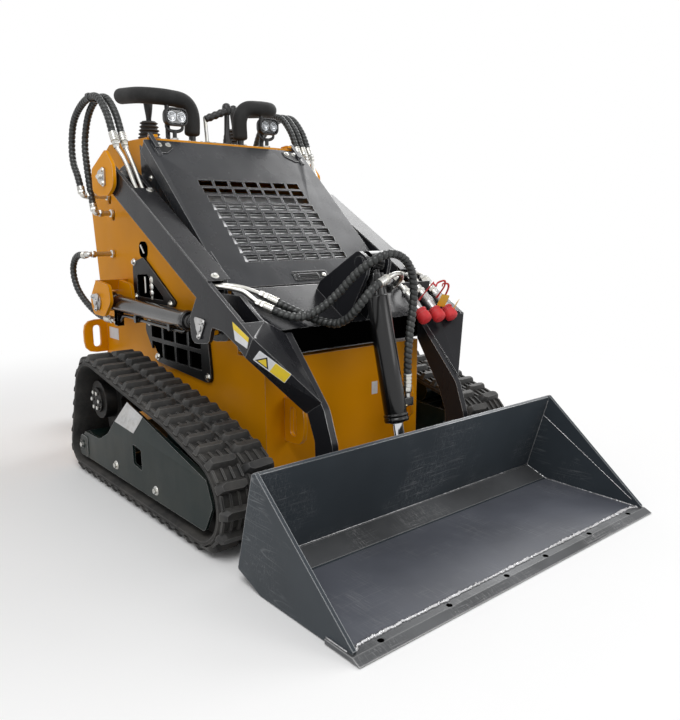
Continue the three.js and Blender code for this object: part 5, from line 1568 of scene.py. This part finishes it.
@dataclass
class Controls:
    """Joysticks, hand guards, lamps, throttle levers and the thigh pad."""

    guard_path: tuple = ((98, 406, 1120), (98, 406, 1195), (125, 406, 1232), (180, 406, 1240), (235, 418, 1242),
                         (262, 470, 1248), (264, 550, 1256), (262, 614, 1262))
    guard_radius: float = 26.6
    brace_x: float = 190
    stick: Pair = (177, 575)
    lamp: Triple = (186, 343, 1172)

    def joystick(self, side: Side) -> None:
        """A bolted base, a bellows whose radius waves as it narrows, and a shaped grip.

        Args:
            side: The machine's side.
        """
        x, y = self.stick
        z = DECK_TOP
        foot, tall, ring = 8, 75, 12.5
        height = np.linspace(foot, foot + tall, 76)
        wave = 40.0 - 13.0 * ((height - foot) / tall) + 3.4 * np.cos((height - 14) * 2 * math.pi / ring)
        profile = [(0, foot), *zip(wave.tolist(), height.tolist()), (0, foot + tall)]
        base = prism(round_box((-42, 42), (-42, 42), 8), 0, 9, 2).moved((x, y, z))
        heads = [hex_bolt((x + a * 35, y + b * 35, z + 9), UP, 7) for a in (-1, 1) for b in (-1, 1)]
        t = np.linspace(0, 1, 40)
        knots = ((0, 9), (0.2, 9.5), (0.38, 12.5), (0.55, 15), (0.7, 16.6), (0.86, 16.2), (0.94, 13),
                 (0.985, 7), (1, 0))
        radius = np.interp(t, *zip(*knots))
        section = 1 - 0.16 * np.cos(turns(24)) ** 2 - 0.03 * np.cos(3 * turns(24))
        path = np.stack([np.full(40, x), y - 3 * np.sin(t * math.pi), z + 74 + 100 * t], 1)
        grip = tube(path, radius[:, None] * section[None, :], 24)
        button = prism(round_box((-7, 7), (-5, 5), 3), 0, 4, 1.2).turned(FLAT_TO_XZ).moved((x, y - 18.5, z + 150))
        add_piece("joystick_base", base, PLATE_BLACK, "chassis", "joystick", side=side)
        add_piece("joystick_bolts", heads, ZINC, side=side)
        add_piece("joystick_bellows", lathe(profile, (x, y, z), (x, y, z + 100), 40), BELLOWS, smooth=70, side=side)
        add_piece("joystick_grip", [grip, button], KNOB, smooth=55, side=side)

    def guard(self, side: Side) -> None:
        """A bent bar in thick round-ended foam, on a leg and a brace with bolted feet.

        Args:
            side: The machine's side.
        """
        count = 84
        path = smooth_path(self.guard_path, count)
        end = round_ends(np.linspace(0, 1, count) * length_of(path), 13)
        foam = tube(path, self.guard_radius * (0.45 + 0.55 * end), 28)
        add_piece("foam_guard", foam, GRIP_FOAM, "chassis", "hand_guard", 80, side)
        x, y = self.guard_path[0][:2]
        brace = self.brace_x
        foot = round_box((-22, 22), (-18, 18), 5)
        bars = [rod((x, y, DECK_TOP + 4), (x, y, 1130), 12, 28), rod((brace, y, DECK_TOP + 4), (brace, y, 1226), 8, 24),
                prism(foot, 0, 5).moved((x, y, DECK_TOP)), prism(foot * 0.8, 0, 5).moved((brace, y, DECK_TOP))]
        add_piece("guard_bars", bars, CYLINDER_BLACK, side=side)
        spots = ((x - 16, 10), (x + 16, -10), (brace - 12, 8), (brace + 12, -8))
        add_piece("guard_bolts", [hex_bolt((a, y + b, DECK_TOP + 5), UP, 7) for a, b in spots], ZINC, side=side)

    def work_lamp(self, side: Side) -> None:
        """An oval housing with two bowls behind a clear cover.

        Args:
            side: The machine's side.
        """
        x, y, z = self.lamp
        stem = y + 22
        outline = round_box((-41, 41), (-29, 29), 25, 10)
        shell = [(20, 42), (12, 41), (5, 34), (1.5, 26), (0, 18), (0, 3), (1.5, 0.6), (5, 0.4), (6.5, 2.5), (7.5, 16)]
        housing = [loft(outline, shell).turned(FLAT_TO_XZ).moved((x, y, z))]
        for left in x - 24 + 11 * np.arange(5):
            housing.append(box_shape((left, left + 4), (y + 38, y + 41.6), (z - 15, z + 15), 0.8))
        yoke = [(x + a, stem, z + b) for a, b in ((-30, -24), (-28, -36), (-12, -44), (12, -44), (28, -36), (30, -24))]
        housing.append(tube(smooth_path(yoke, 30), np.broadcast_to(oval(2.75, 5.5), (30, 12)), 12))
        housing.append(rod((x, stem, DECK_TOP), (x, stem, z - 40), 7))
        add_piece("lamp_housing", housing, HOUSING, "chassis", "work_lamp", side=side)
        dish = [(0, 12), (3.5, 11.6), (8, 9.8), (11.5, 6.6), (13.8, 2.6), (14.6, 1.2), (15.4, 1.2),
                (15.6, 13.5), (0, 13.5)]
        bulb = [(0, 0), (2, 0.4), (3.6, 2), (4.2, 4.5), (4.2, 9), (0, 9)]
        bowls, bulbs = ([lathe(profile, (x + a, y + front, z), (x + a, y + 20, z), sides) for a in (-17.5, 17.5)]
                        for profile, front, sides in ((dish, 2, 36), (bulb, 7, 20)))
        add_piece("lamp_bowls", bowls, REFLECTOR, smooth=60, side=side)
        add_piece("lamp_bulbs", bulbs, PLATE_WHITE, side=side)
        cover = prism(outline * [0.8, 0.74], 0, 1.4, 0.4).turned(FLAT_TO_XZ).moved((x, y + 1.2, z))
        add_piece("lamp_cover", cover, LENS, side=side)
        add_piece("lamp_nut", nut((x, stem, DECK_TOP), (x, stem, DECK_TOP + 8), 12), ZINC, side=side)

    @staticmethod
    def throttle() -> None:
        """The throttle's bent lever and the knob lever on their slotted base."""
        y, z = 410, DECK_TOP
        plate = [prism(round_box((-60, 60), (-20, 20), 6), 0, 7, 1.5).moved((0, y, z))]
        plate += [box_shape((x - 4, x + 4), (y - 14, y + 14), (z + 6, z + 9), 1) for x in (-38, 44)]
        add_piece("lever_base", plate, PLATE_BLACK, "chassis", "throttle_levers")
        stems = [tube(smooth_path([(-38, y, z + 6), (-40, y, z + 40), (-44, y, z + 92)], 30), 6.5),
                 tube(smooth_path([(44, y, z + 6), (44.5, y, z + 60), (46, y, z + 116)], 30), 6.0)]
        stems += [hex_bolt((x, y + 10, z + 7), UP, 8) for x in (-54, 0, 56)]
        add_piece("lever_stems", stems, ZINC)
        t = np.linspace(0, 1, 60)
        swell = (12.6 + 1.2 * np.cos(t * 8 * math.pi)) * (0.3 + 0.7 * round_ends(t, 0.1))
        grip = tube(smooth_path([(-46, y - 2, z + 84), (-8, y - 8, z + 100), (34, y - 14, z + 118)], 60), swell, 24)
        knob = [(0, 0), (11, 0), (13.5, 3), (16.4, 12), (16.8, 19), (15.6, 29), (12.5, 36), (6, 39.6), (0, 40)]
        boot = [(0, 0), (16, 0), (14, 8), (15, 12), (12.5, 20), (13, 25), (10.5, 34), (9.5, 70), (9, 104), (0, 104)]
        shapes = [grip, lathe(boot, (44, y, z + 7), (46, y, z + 120), 32),
                  lathe(knob, (46, y, z + 108), (46, y, z + 200), 32)]
        add_piece("lever_grips", shapes, KNOB, smooth=60)

    @staticmethod
    def thigh_pad() -> None:
        """A firm vinyl pad with piping: two sheets that meet at a round-cornered edge.

        The front rises from the edge as a flattened arc within 30 mm, and sinks along two sewn lines
        at a third and two thirds of the height.
        """
        rows, columns = 61, 81
        corner, half, tall, rim, foot = 34.0, 230.0, 220.0, 8, 685
        v = tall * (0.5 - 0.5 * np.cos(np.linspace(0, math.pi, rows)))[:, None]
        u = np.sin(np.linspace(-math.pi / 2, math.pi / 2, columns))[None, :]
        end = np.clip(corner - np.minimum(v, tall - v), 0, corner)
        wide = half - corner + np.sqrt(corner**2 - end**2)
        edge = np.minimum(np.minimum(v, tall - v), wide * (1 - np.abs(u)))
        crown = (1 - (1 - np.clip(edge / 30, 0, 1)) ** 2.4) ** (1 / 2.4)
        pull = sum(np.exp(-(((v - seam) / 6.0) ** 2)) for seam in (73, 147))
        front = rim + 37 * crown - 3.5 * pull * np.clip((edge - 6) / 24, 0, 1)
        back = rim - 7.6 * np.clip(edge / 9, 0, 1)
        sheets = [np.stack([wide * u, v + 0 * u, height], -1).reshape(-1, 3) for height in (front, back)]
        quads = grid_faces(rows, columns, False, False)
        pad = Shape(np.concatenate(sheets), quads.tolist() + (quads[:, ::-1] + rows * columns).tolist())
        outline = round_box((-half, half), (0, tall), corner, 8)
        closed = np.concatenate([outline, outline[:1]]) * [0.9935, 1.0]
        cord = tube(np.column_stack([closed, np.full(len(closed), rim + 1.0)]), 2.2, 8)
        lean = math.atan2(75, 585)
        basis = np.array([[1, 0, 0], [0, math.sin(lean), math.cos(lean)], [0, math.cos(lean), -math.sin(lean)]])
        place = (0, 785 + (foot - 400) * math.tan(lean), foot)
        cushion = add_piece("thigh_cushion", pad.turned(basis).moved(place), PAD_VINYL, "chassis", "thigh_pad", 80)
        add_piece("cushion_piping", cord.turned(basis).moved(place), PAD_VINYL, smooth=80)

    def build(self) -> None:
        """Makes all the controls."""
        for side in Side:
            self.joystick(side)
            self.guard(side)
            self.work_lamp(side)
        self.throttle()
        self.thigh_pad()


# ---------------------------------------------------------------- hood, body and arm trim


@dataclass
class HoodTrim:
    """Hinge plates and their bolts, the latch and its lock, and the cooler's fins behind the grille."""

    foot: Pair = (-160, 644)
    head: Pair = (337, 1091)

    def on_hood(self, shapes: Iterable[Shape]) -> Shape:
        """Shapes drawn flat (X across, Y up the slope, Z out of it) in their place on the hood."""
        (y, z), lean = self.foot, math.atan2(self.head[1] - self.foot[1], self.head[0] - self.foot[0])
        c, s = math.cos(lean), math.sin(lean)
        return joined(shapes).turned(np.array([[1, 0, 0], [0, c, s], [0, -s, c]])).moved((0, y, z))

    def build(self) -> None:
        """Makes the trim that moves with the hood, and the fins that stay behind it."""
        plates, heads, thick = [], [], 3.5
        leaf = [[286, 600, 4], [286, 655, 4], [224, 655, 4], [224, 628, 8], [256, 600, 8]]
        for sign in (-1, 1):
            plates.append(prism(rounded([[sign * x, *rest] for x, *rest in leaf]), 0, thick, 0.8))
            heads += [hex_bolt((sign * x, y, thick), UP, 10) for x, y in ((270, 640), (238, 642))]
        latch, paddle = round_box((-70, 68), (11, 51), 9), round_box((-56, 30), (21, 41), 5)
        plates.append(loft(latch, [(0, 0), (0, 2.2), (1.2, 3.2), (5, 3.2), (6.4, 1.4), (9, 0.6)]))
        plates.append(loft(paddle, [(0, 0.4), (0.4, 2.6), (3, 4.2), (8, 4.4)]))
        add_piece("hood_plates", self.on_hood(plates), PLATE_BLACK, "hood_lid")
        lock = [(0, 0), (8, 0), (8, 2.4), (6.6, 3.4), (2.5, 3.4), (2.3, 1.6), (0, 1.6)]
        heads.append(lathe(lock, (50, 31, 0.6), (50, 31, 9), 28))
        add_piece("hood_bolts", self.on_hood(heads), ZINC, "hood_lid")
        slat = round_box((-186, 204), (-1.7, 1.7), 0.8, 1)
        fins = [prism(slat, -16, -9, 0).moved((0, at, 0)) for at in np.arange(104, 372, 12.8)]
        fins.append(box_shape((-212, -186), (96, 374), (-18, -8), 3))
        add_piece("cooler_fins", self.on_hood(fins), COOLER)
        # A flat black box behind the fins: painted shade for the dark inside of the cooler.
        add_piece("cooler_shade", self.on_hood([box_shape((-212, 206), (96, 374), (-26, -19), 0.5)]), PRINT_AND_SHADE_BLACK)


LIFT_BASE, LIFT_EYE, LIFT_X = (556, 554), (-151, 539), 366.5
TILT_BASE, TILT_EYE = (-417, 718), (-556, 150)


@dataclass
class SideTrim:
    """Bolts, pin keepers, dark sheets, fittings and blank plates on the body's sides and the arms."""

    pivot: Pair = (431, 973)
    ear_face: float = 426

    def bolts(self, side: Side) -> None:
        """Bolt heads on the body's plates, the tower ears and the arm covers.

        Args:
            side: The machine's side.
        """
        y, z = self.pivot
        ring = [(y + a, z + b) for a, b in ((-22, 19), (-19, -21), (16, 1))]
        heads = [*bolts(BODY_SIDE + 8.4, ((470, 572), (474, 692), (212, 566)), 13),
                 *bolts(BODY_SIDE + 10.4, ((372, 492), (-18, 362), (318, 380), (12, 494)), 13),
                 *bolts(self.ear_face, ring, 11), *bolts(self.ear_face, (self.pivot,), 15, False)]
        add_piece("side_bolts", heads, ZINC, side=side)
        covers = [hex_bolt(place, (0.0, -0.5, 0.87), 12) for place in ((347, 236, 927), (370, -185, 683))]
        add_piece("cover_bolts", covers, ZINC, "arms", side=side)

    @staticmethod
    def backings(side: Side) -> None:
        """Dark sheets behind the side openings, the fittings in them, and the strip above the arm.

        Args:
            side: The machine's side.
        """
        grille = [[392, 456, 30], [326, 372, 30], [-30, 352, 30], [-14, 466, 30], [4, 500, 10], [386, 494, 20]]
        window = [[462, 570, 6], [462, 654, 10], [380, 662, 10], [252, 590, 6], [250, 570, 6]]
        slot = corners_of((376, 440), (710, 764), 24)
        sheets = [side_plate(rounded(sheet), BODY_SIDE + 0.4, BODY_SIDE + 1.8, 0.3) for sheet in (grille, window, slot)]
        add_piece("side_shades", sheets, SHADE, side=side)
        strip = [[390, 1080, 4], [386, 955, 4], [167, 826, 4], [-118, 662, 4], [-118, 690, 4], [345, 1052, 4]]
        plate = side_plate(rounded(strip), BODY_SIDE + 0.5, BODY_SIDE + 2.5, 0.5)
        add_piece("side_strip", plate, HOOD_GREY, side=side)
        fittings = [nut((308, 340, z), (308, 340, z + 17), 8) for z in (584, 606, 628)]
        fittings += [rod((308, 340, 572), (308, 340, 650), 5.5), rod((304, 398, 590), (304, 398, 646), 4, 16),
                     rod((303, 396, 724), (303, 422, 752), 4, 16), *bolts(BODY_SIDE + 2.5, ((318, 968),), 10)]
        add_piece("window_fittings", fittings, ZINC, side=side)

    @staticmethod
    def keepers(side: Side) -> None:
        """Three-cornered pin keepers with their screws on the lift cylinder's eyes.

        Args:
            side: The machine's side.
        """
        thick = 4.5
        for name, sign, (y, z), face, body in (("front", 1, LIFT_EYE, 403.3, "arms"),
                                               ("rear", -1, LIFT_BASE, 418.3, "chassis")):
            outline = rounded([[y + sign * a, z + b, 10] for a, b in ((-36, 26), (30, 30), (2, -40))])
            screws = bolts(face + thick, [(y + sign * a, z + b) for a, b in ((-22, 17), (2, -24))], 9)
            boss = rod((face + 4, y, z), (face + 8, y, z), 12, 28)
            parts = [side_plate(outline, face, face + thick), *screws, boss]
            add_piece(f"pin_keeper_{name}", parts, STEEL, body, side=side)

    @staticmethod
    def plates() -> None:
        """Blank warning plates on the right arm's elbow and plain labels on the body."""
        upper = np.array([(-324, 574), (-400, 541), (-390, 512), (-333, 527)], float)
        stripe = np.array([(-324, 574), (-400, 541), (-396, 529), (-327, 555)], float)
        upper, stripe = (side_plate(outline, low, low + 0.7, 0.2).on(Side.RIGHT)
                         for outline, low in ((upper, 403.1), (stripe, 403.5)))
        run, out = unit((0.596, -0.532, -0.606)), unit((-0.80, -0.50, -0.34))
        basis, corner = np.stack([run, np.cross(out, run), out]), (-368, -431, 482.0)
        triangle = np.array([[-28.0, -22.0], [14, -22], [-7, 8.5]])
        middle = triangle.mean(0)
        panel, sign, black, yellow = (
            prism(outline, low, low + 0.6, edge).turned(basis).moved(corner) for outline, low, edge in (
                (round_box((-33, 68), (-26, 11), 2, 2), 0.3, 0.2),
                (round_box((19, 66.5), (-24.5, 9.5), 1, 2), 0.6, 0.2),
                (triangle, 0.7, 0.1), (middle + (triangle - middle) * 0.68, 1.0, 0.1)))
        labels = [box_shape((98, 122), (-313.9, -313.1), (300, 340), 0.2),
                  box_shape((-300.9, -300.1), (664, 748), (392, 436), 0.2)]
        add_piece("blank_plates_body", labels, PLATE_WHITE)
        add_piece("blank_plates_arm", [upper, panel], PLATE_WHITE, "arms")
        add_piece("warning_fields", [stripe, sign, yellow], PLATE_YELLOW, "arms")
        add_piece("warning_border", black, PRINT_AND_SHADE_BLACK, "arms")

    def build(self) -> None:
        """Makes the trim on both sides."""
        for side in Side:
            self.bolts(side)
            self.backings(side)
            self.keepers(side)
        recess = box_shape((-329, 329), (-364.2, -362.5), (477, 545), 0.3)
        add_piece("cross_member_shade", recess, SHADE, "arms")
        self.plates()


@dataclass(frozen=True)
class CylinderLine:
    """A hydraulic cylinder's line, from its base pin to its eye in Y and Z, at a distance from the middle."""

    base: Pair
    eye: Pair
    x: float
    tube: float
    rod: float

    def at(self, distance: float) -> Triple:
        """The place at a distance from the base pin towards the eye."""
        way = unit(np.subtract(self.eye, self.base))
        return (self.x, *(np.array(self.base) + way * distance))

    def hollow(self, profile: Sequence[Pair], start: float) -> Shape:
        """A closed profile (radius, distance from start) swung a full turn, open along its axis."""
        turned = lathe(profile, self.at(start), self.at(start + 30), 40)
        return Shape(turned.points, grid_faces(len(profile), 40, True, True).tolist())

    def gland(self, end: float) -> tuple[Shape, Shape]:
        """A gland nut with two grooves and its wiper ring, a little proud of the tube's end.

        Args:
            end: The tube's end, as a distance from the base pin.

        Returns:
            The nut and the ring.
        """
        rim, bore = self.tube + 3.2, self.rod + 0.8
        profile = [(bore, -2), (self.tube + 1.5, -2), (rim, 0), (rim, 5), (self.tube + 2, 6), (self.tube + 2, 9),
                   (rim, 10), (rim, 16), (self.tube + 1.6, 20.5), (self.rod + 6, 21), (bore, 21)]
        wiper = [(self.rod + 0.3, 0), (self.rod + 5, 0), (self.rod + 4, 4), (self.rod + 0.5, 6)]
        return self.hollow(profile, end - 18), self.hollow(wiper, end + 1)


@dataclass
class CylinderTrim:
    """Glands, wipers and weld rings on the cylinders, the lift cylinders' pipes and the tilt tube's jacket."""

    lift: CylinderLine = CylinderLine(LIFT_BASE, LIFT_EYE, LIFT_X, 28, 16)
    tilt: CylinderLine = CylinderLine(TILT_BASE, TILT_EYE, 0, 32, 17)
    pipe: tuple = ((480, 488), (462, 500), (436, 512), (300, 509.5), (160, 507), (30, 505), (8, 507), (-2, 516))

    def build(self) -> None:
        """Adds the trim to all three cylinders."""
        gland, wiper = self.lift.gland(581)
        weld = self.lift.hollow([(28, 0), (30.5, 2.5), (28, 5)], 64)
        pipe = tube(smooth_path([(LIFT_X, y, z) for y, z in self.pipe], 90), 5.5, 16)
        bands = [box_shape((352, 381), (at - 7, at + 7), (500, 524), 3) for at in (330, 90)]
        for side in Side:
            add_piece("lift_gland", [gland, weld, pipe, *bands], CYLINDER_BLACK, "lift_tube_" + side.word, side=side)
            add_piece("lift_wiper", wiper, BELLOWS, "lift_tube_" + side.word, side=side)
        gland, wiper = self.tilt.gland(453)
        jacket = self.tilt.hollow([(27.5, 96), (31, 97.5), (32.5, 101), (32.5, 431), (31.5, 434), (27.5, 434)], 0)
        add_piece("tilt_gland", [gland, jacket], CYLINDER_BLACK, "tilt_tube_body", smooth=60)
        add_piece("tilt_wiper", wiper, BELLOWS, "tilt_tube_body")


@dataclass
class BucketTrim:
    """Weld beads, the edge's holes as discs of painted shade, and the floor's sheets on the bucket: the flat floor's
    lighter slate is painted light from the sky, and the rear slope has a lighter sheet of its own.
    """

    holes: tuple[float, ...] = (-484, -280, -78, 79, 278, 483)

    @staticmethod
    def weld(points: Sequence[Triple], radius: float) -> Shape:
        """A weld bead along a line: its radius rises and falls like overlapping scales.

        The radius is radius * (0.6 + 0.35 * |sin(run * pi / 6 mm)| + 0.15 * sin(run / 37 mm)) plus a
        seeded unevenness, and the bead's line wanders by up to about a third of its radius.

        Args:
            points: The corners of the bead's line.
            radius: The bead's plain radius.

        Returns:
            The bead.
        """
        places = np.array(points, float)
        run = run_of(places)
        even = np.linspace(0, run[-1], int(run[-1] / 2.0) + 2)
        path = along(even, run, places)
        noise = np.random.default_rng(len(even)).normal(0, 1, (2, len(even)))
        noise = (noise + np.roll(noise, 1, 1) + np.roll(noise, 2, 1)) / 3
        size = radius * (0.6 + 0.35 * np.abs(np.sin(even * math.pi / 6)) + 0.15 * np.sin(even / 37) + 0.3 * noise[0])
        size = np.maximum(size, radius * 0.25)
        size[0] = size[-1] = 0.4
        path[1:-1, 1] += (radius * 0.33 * noise[1])[1:-1]
        return tube(path, size, 8)

    def build(self) -> None:
        """Adds beads to the bucket's inner corners and its cutting edge, then the holes and sheets."""
        seams = [([(-548, -974, 13), (-530, -960, 12.8), (530, -960, 12.8), (548, -974, 13)], 4.6)]
        for x in (-549.2, 549.2):
            outside = math.copysign(561, x)
            seams += [([(x, -970, 12.8), (x, -662, 12.8), (x, -586, 40)], 2.6), ([(x, -586, 40), (x, -652, 270)], 1.3),
                      ([(x, -952, 30), (x, -637, 222)], 1.1), ([(outside, -966, 12.6), (outside, -901, 12.6)], 2.0)]
        seams.append(([(-548, -585.6, 41.5), (548, -585.6, 41.5)], 1.6))
        add_piece("bucket_welds", [self.weld(*seam) for seam in seams], WELD, "bucket_group", smooth=80)
        hole = [(0, 0), (7.4, 0), (7.4, -2), (0, -2)]
        holes = [lathe(hole, (x, -978, 12.3), (x, -978, 20), 24) for x in self.holes]
        add_piece("edge_holes", holes, SHADE, "bucket_group")
        # The floor sheet: its lighter slate is painted light from the sky.
        add_piece("floor_sheet", box_shape((-549, 549), (-957, -661), (11.6, 12.6), 0.3), FLOOR_SLATE_PAINTED_LIGHT, "bucket_group")
        slope = side_plate(np.array([(-656, 14.5), (-588, 39.5), (-588, 40.4), (-656, 15.4)]), -547, 547, 0)
        add_piece("floor_slope", slope, EDGE_SLATE, "bucket_group")


@dataclass
class PlatformTrim:
    """Raised diamonds on the stand-on platform."""

    half: float = 236.0
    pitch: float = 26.0
    top: float = 215.0
    front: float = 885.0

    def build(self) -> None:
        """Rows of low lozenges, each turned by a quarter turn from its neighbours."""
        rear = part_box("stand_platform")[1][1] / MM - SHIFT_Y
        lozenge = np.array([[-11, 0], [0, -2.6], [11, 0], [0, 2.6]], float)
        shapes = []
        for i, y in enumerate(np.arange(self.front, rear - 14, self.pitch)):
            for j, x in enumerate(np.arange(-self.half + 14, self.half - 10, self.pitch)):
                angle = math.pi / 4 if (i + j) % 2 else -math.pi / 4
                c, s = math.cos(angle), math.sin(angle)
                turned = lozenge @ np.array([[c, s], [-s, c]])
                shapes.append(loft(turned, [(0, -0.5), (1.0, 1.6)]).moved((x, y, self.top)))
        add_piece("tread_diamonds", shapes, STEEL, "platform")


# The CAD nodes that keep their form: inside the body, in the machine's middle, and one on each side.
INSIDE = {"engine": IRON, "cooler": COOLER}
MIDDLE = {
    "body_shell": YELLOW, "hood": HOOD_GREY, "cross_member": ARM_BLACK, "coupler": BUCKET_SLATE,
    "bucket": BUCKET_SLATE, "cutting_edge": EDGE_SLATE, "stand_platform": DECK, "tilt_tube": CYLINDER_BLACK,
    "tilt_rod": CHROME,
}
PAIRED = {
    "track_frame": FRAME_GREEN, "idler": IRON, "sprocket": IRON, "tower_ear": YELLOW, "arm_pivot_pin": STEEL,
    "lift_bracket": YELLOW, "lift_base_pin": STEEL, "side_grille": PLATE_BLACK, "side_window": PLATE_BLACK,
    "lift_arm": ARM_BLACK, "arm_cover": ARM_BLACK, "lift_tube": CYLINDER_BLACK, "lift_rod": CHROME,
    "bucket_pin": STEEL,
}


@dataclass(frozen=True)
class Castings:
    """CAD nodes that keep their form: rounded edges and a finish, and for those inside a finish alone."""

    def build(self) -> None:
        """Finishes the nodes inside, those in the middle and those on both sides."""
        for node, finish in INSIDE.items():
            dress(frame["nodes"][node], finish)
        for node, finish in MIDDLE.items():
            refined(node, finish)
        for side in Side:
            for node, finish in PAIRED.items():
                refined(f"{node}_{side.tag}", finish)


def main() -> None:
    """Builds the stage and every sub-assembly."""
    logging.basicConfig(level=logging.INFO, format="%(name)s: %(message)s")
    parts = (Stage, Hydraulics, Tracks, Controls, HoodTrim, SideTrim, CylinderTrim, BucketTrim, PlatformTrim, Castings)
    for part in parts:
        part().build()


if __name__ == "__main__":
    main()
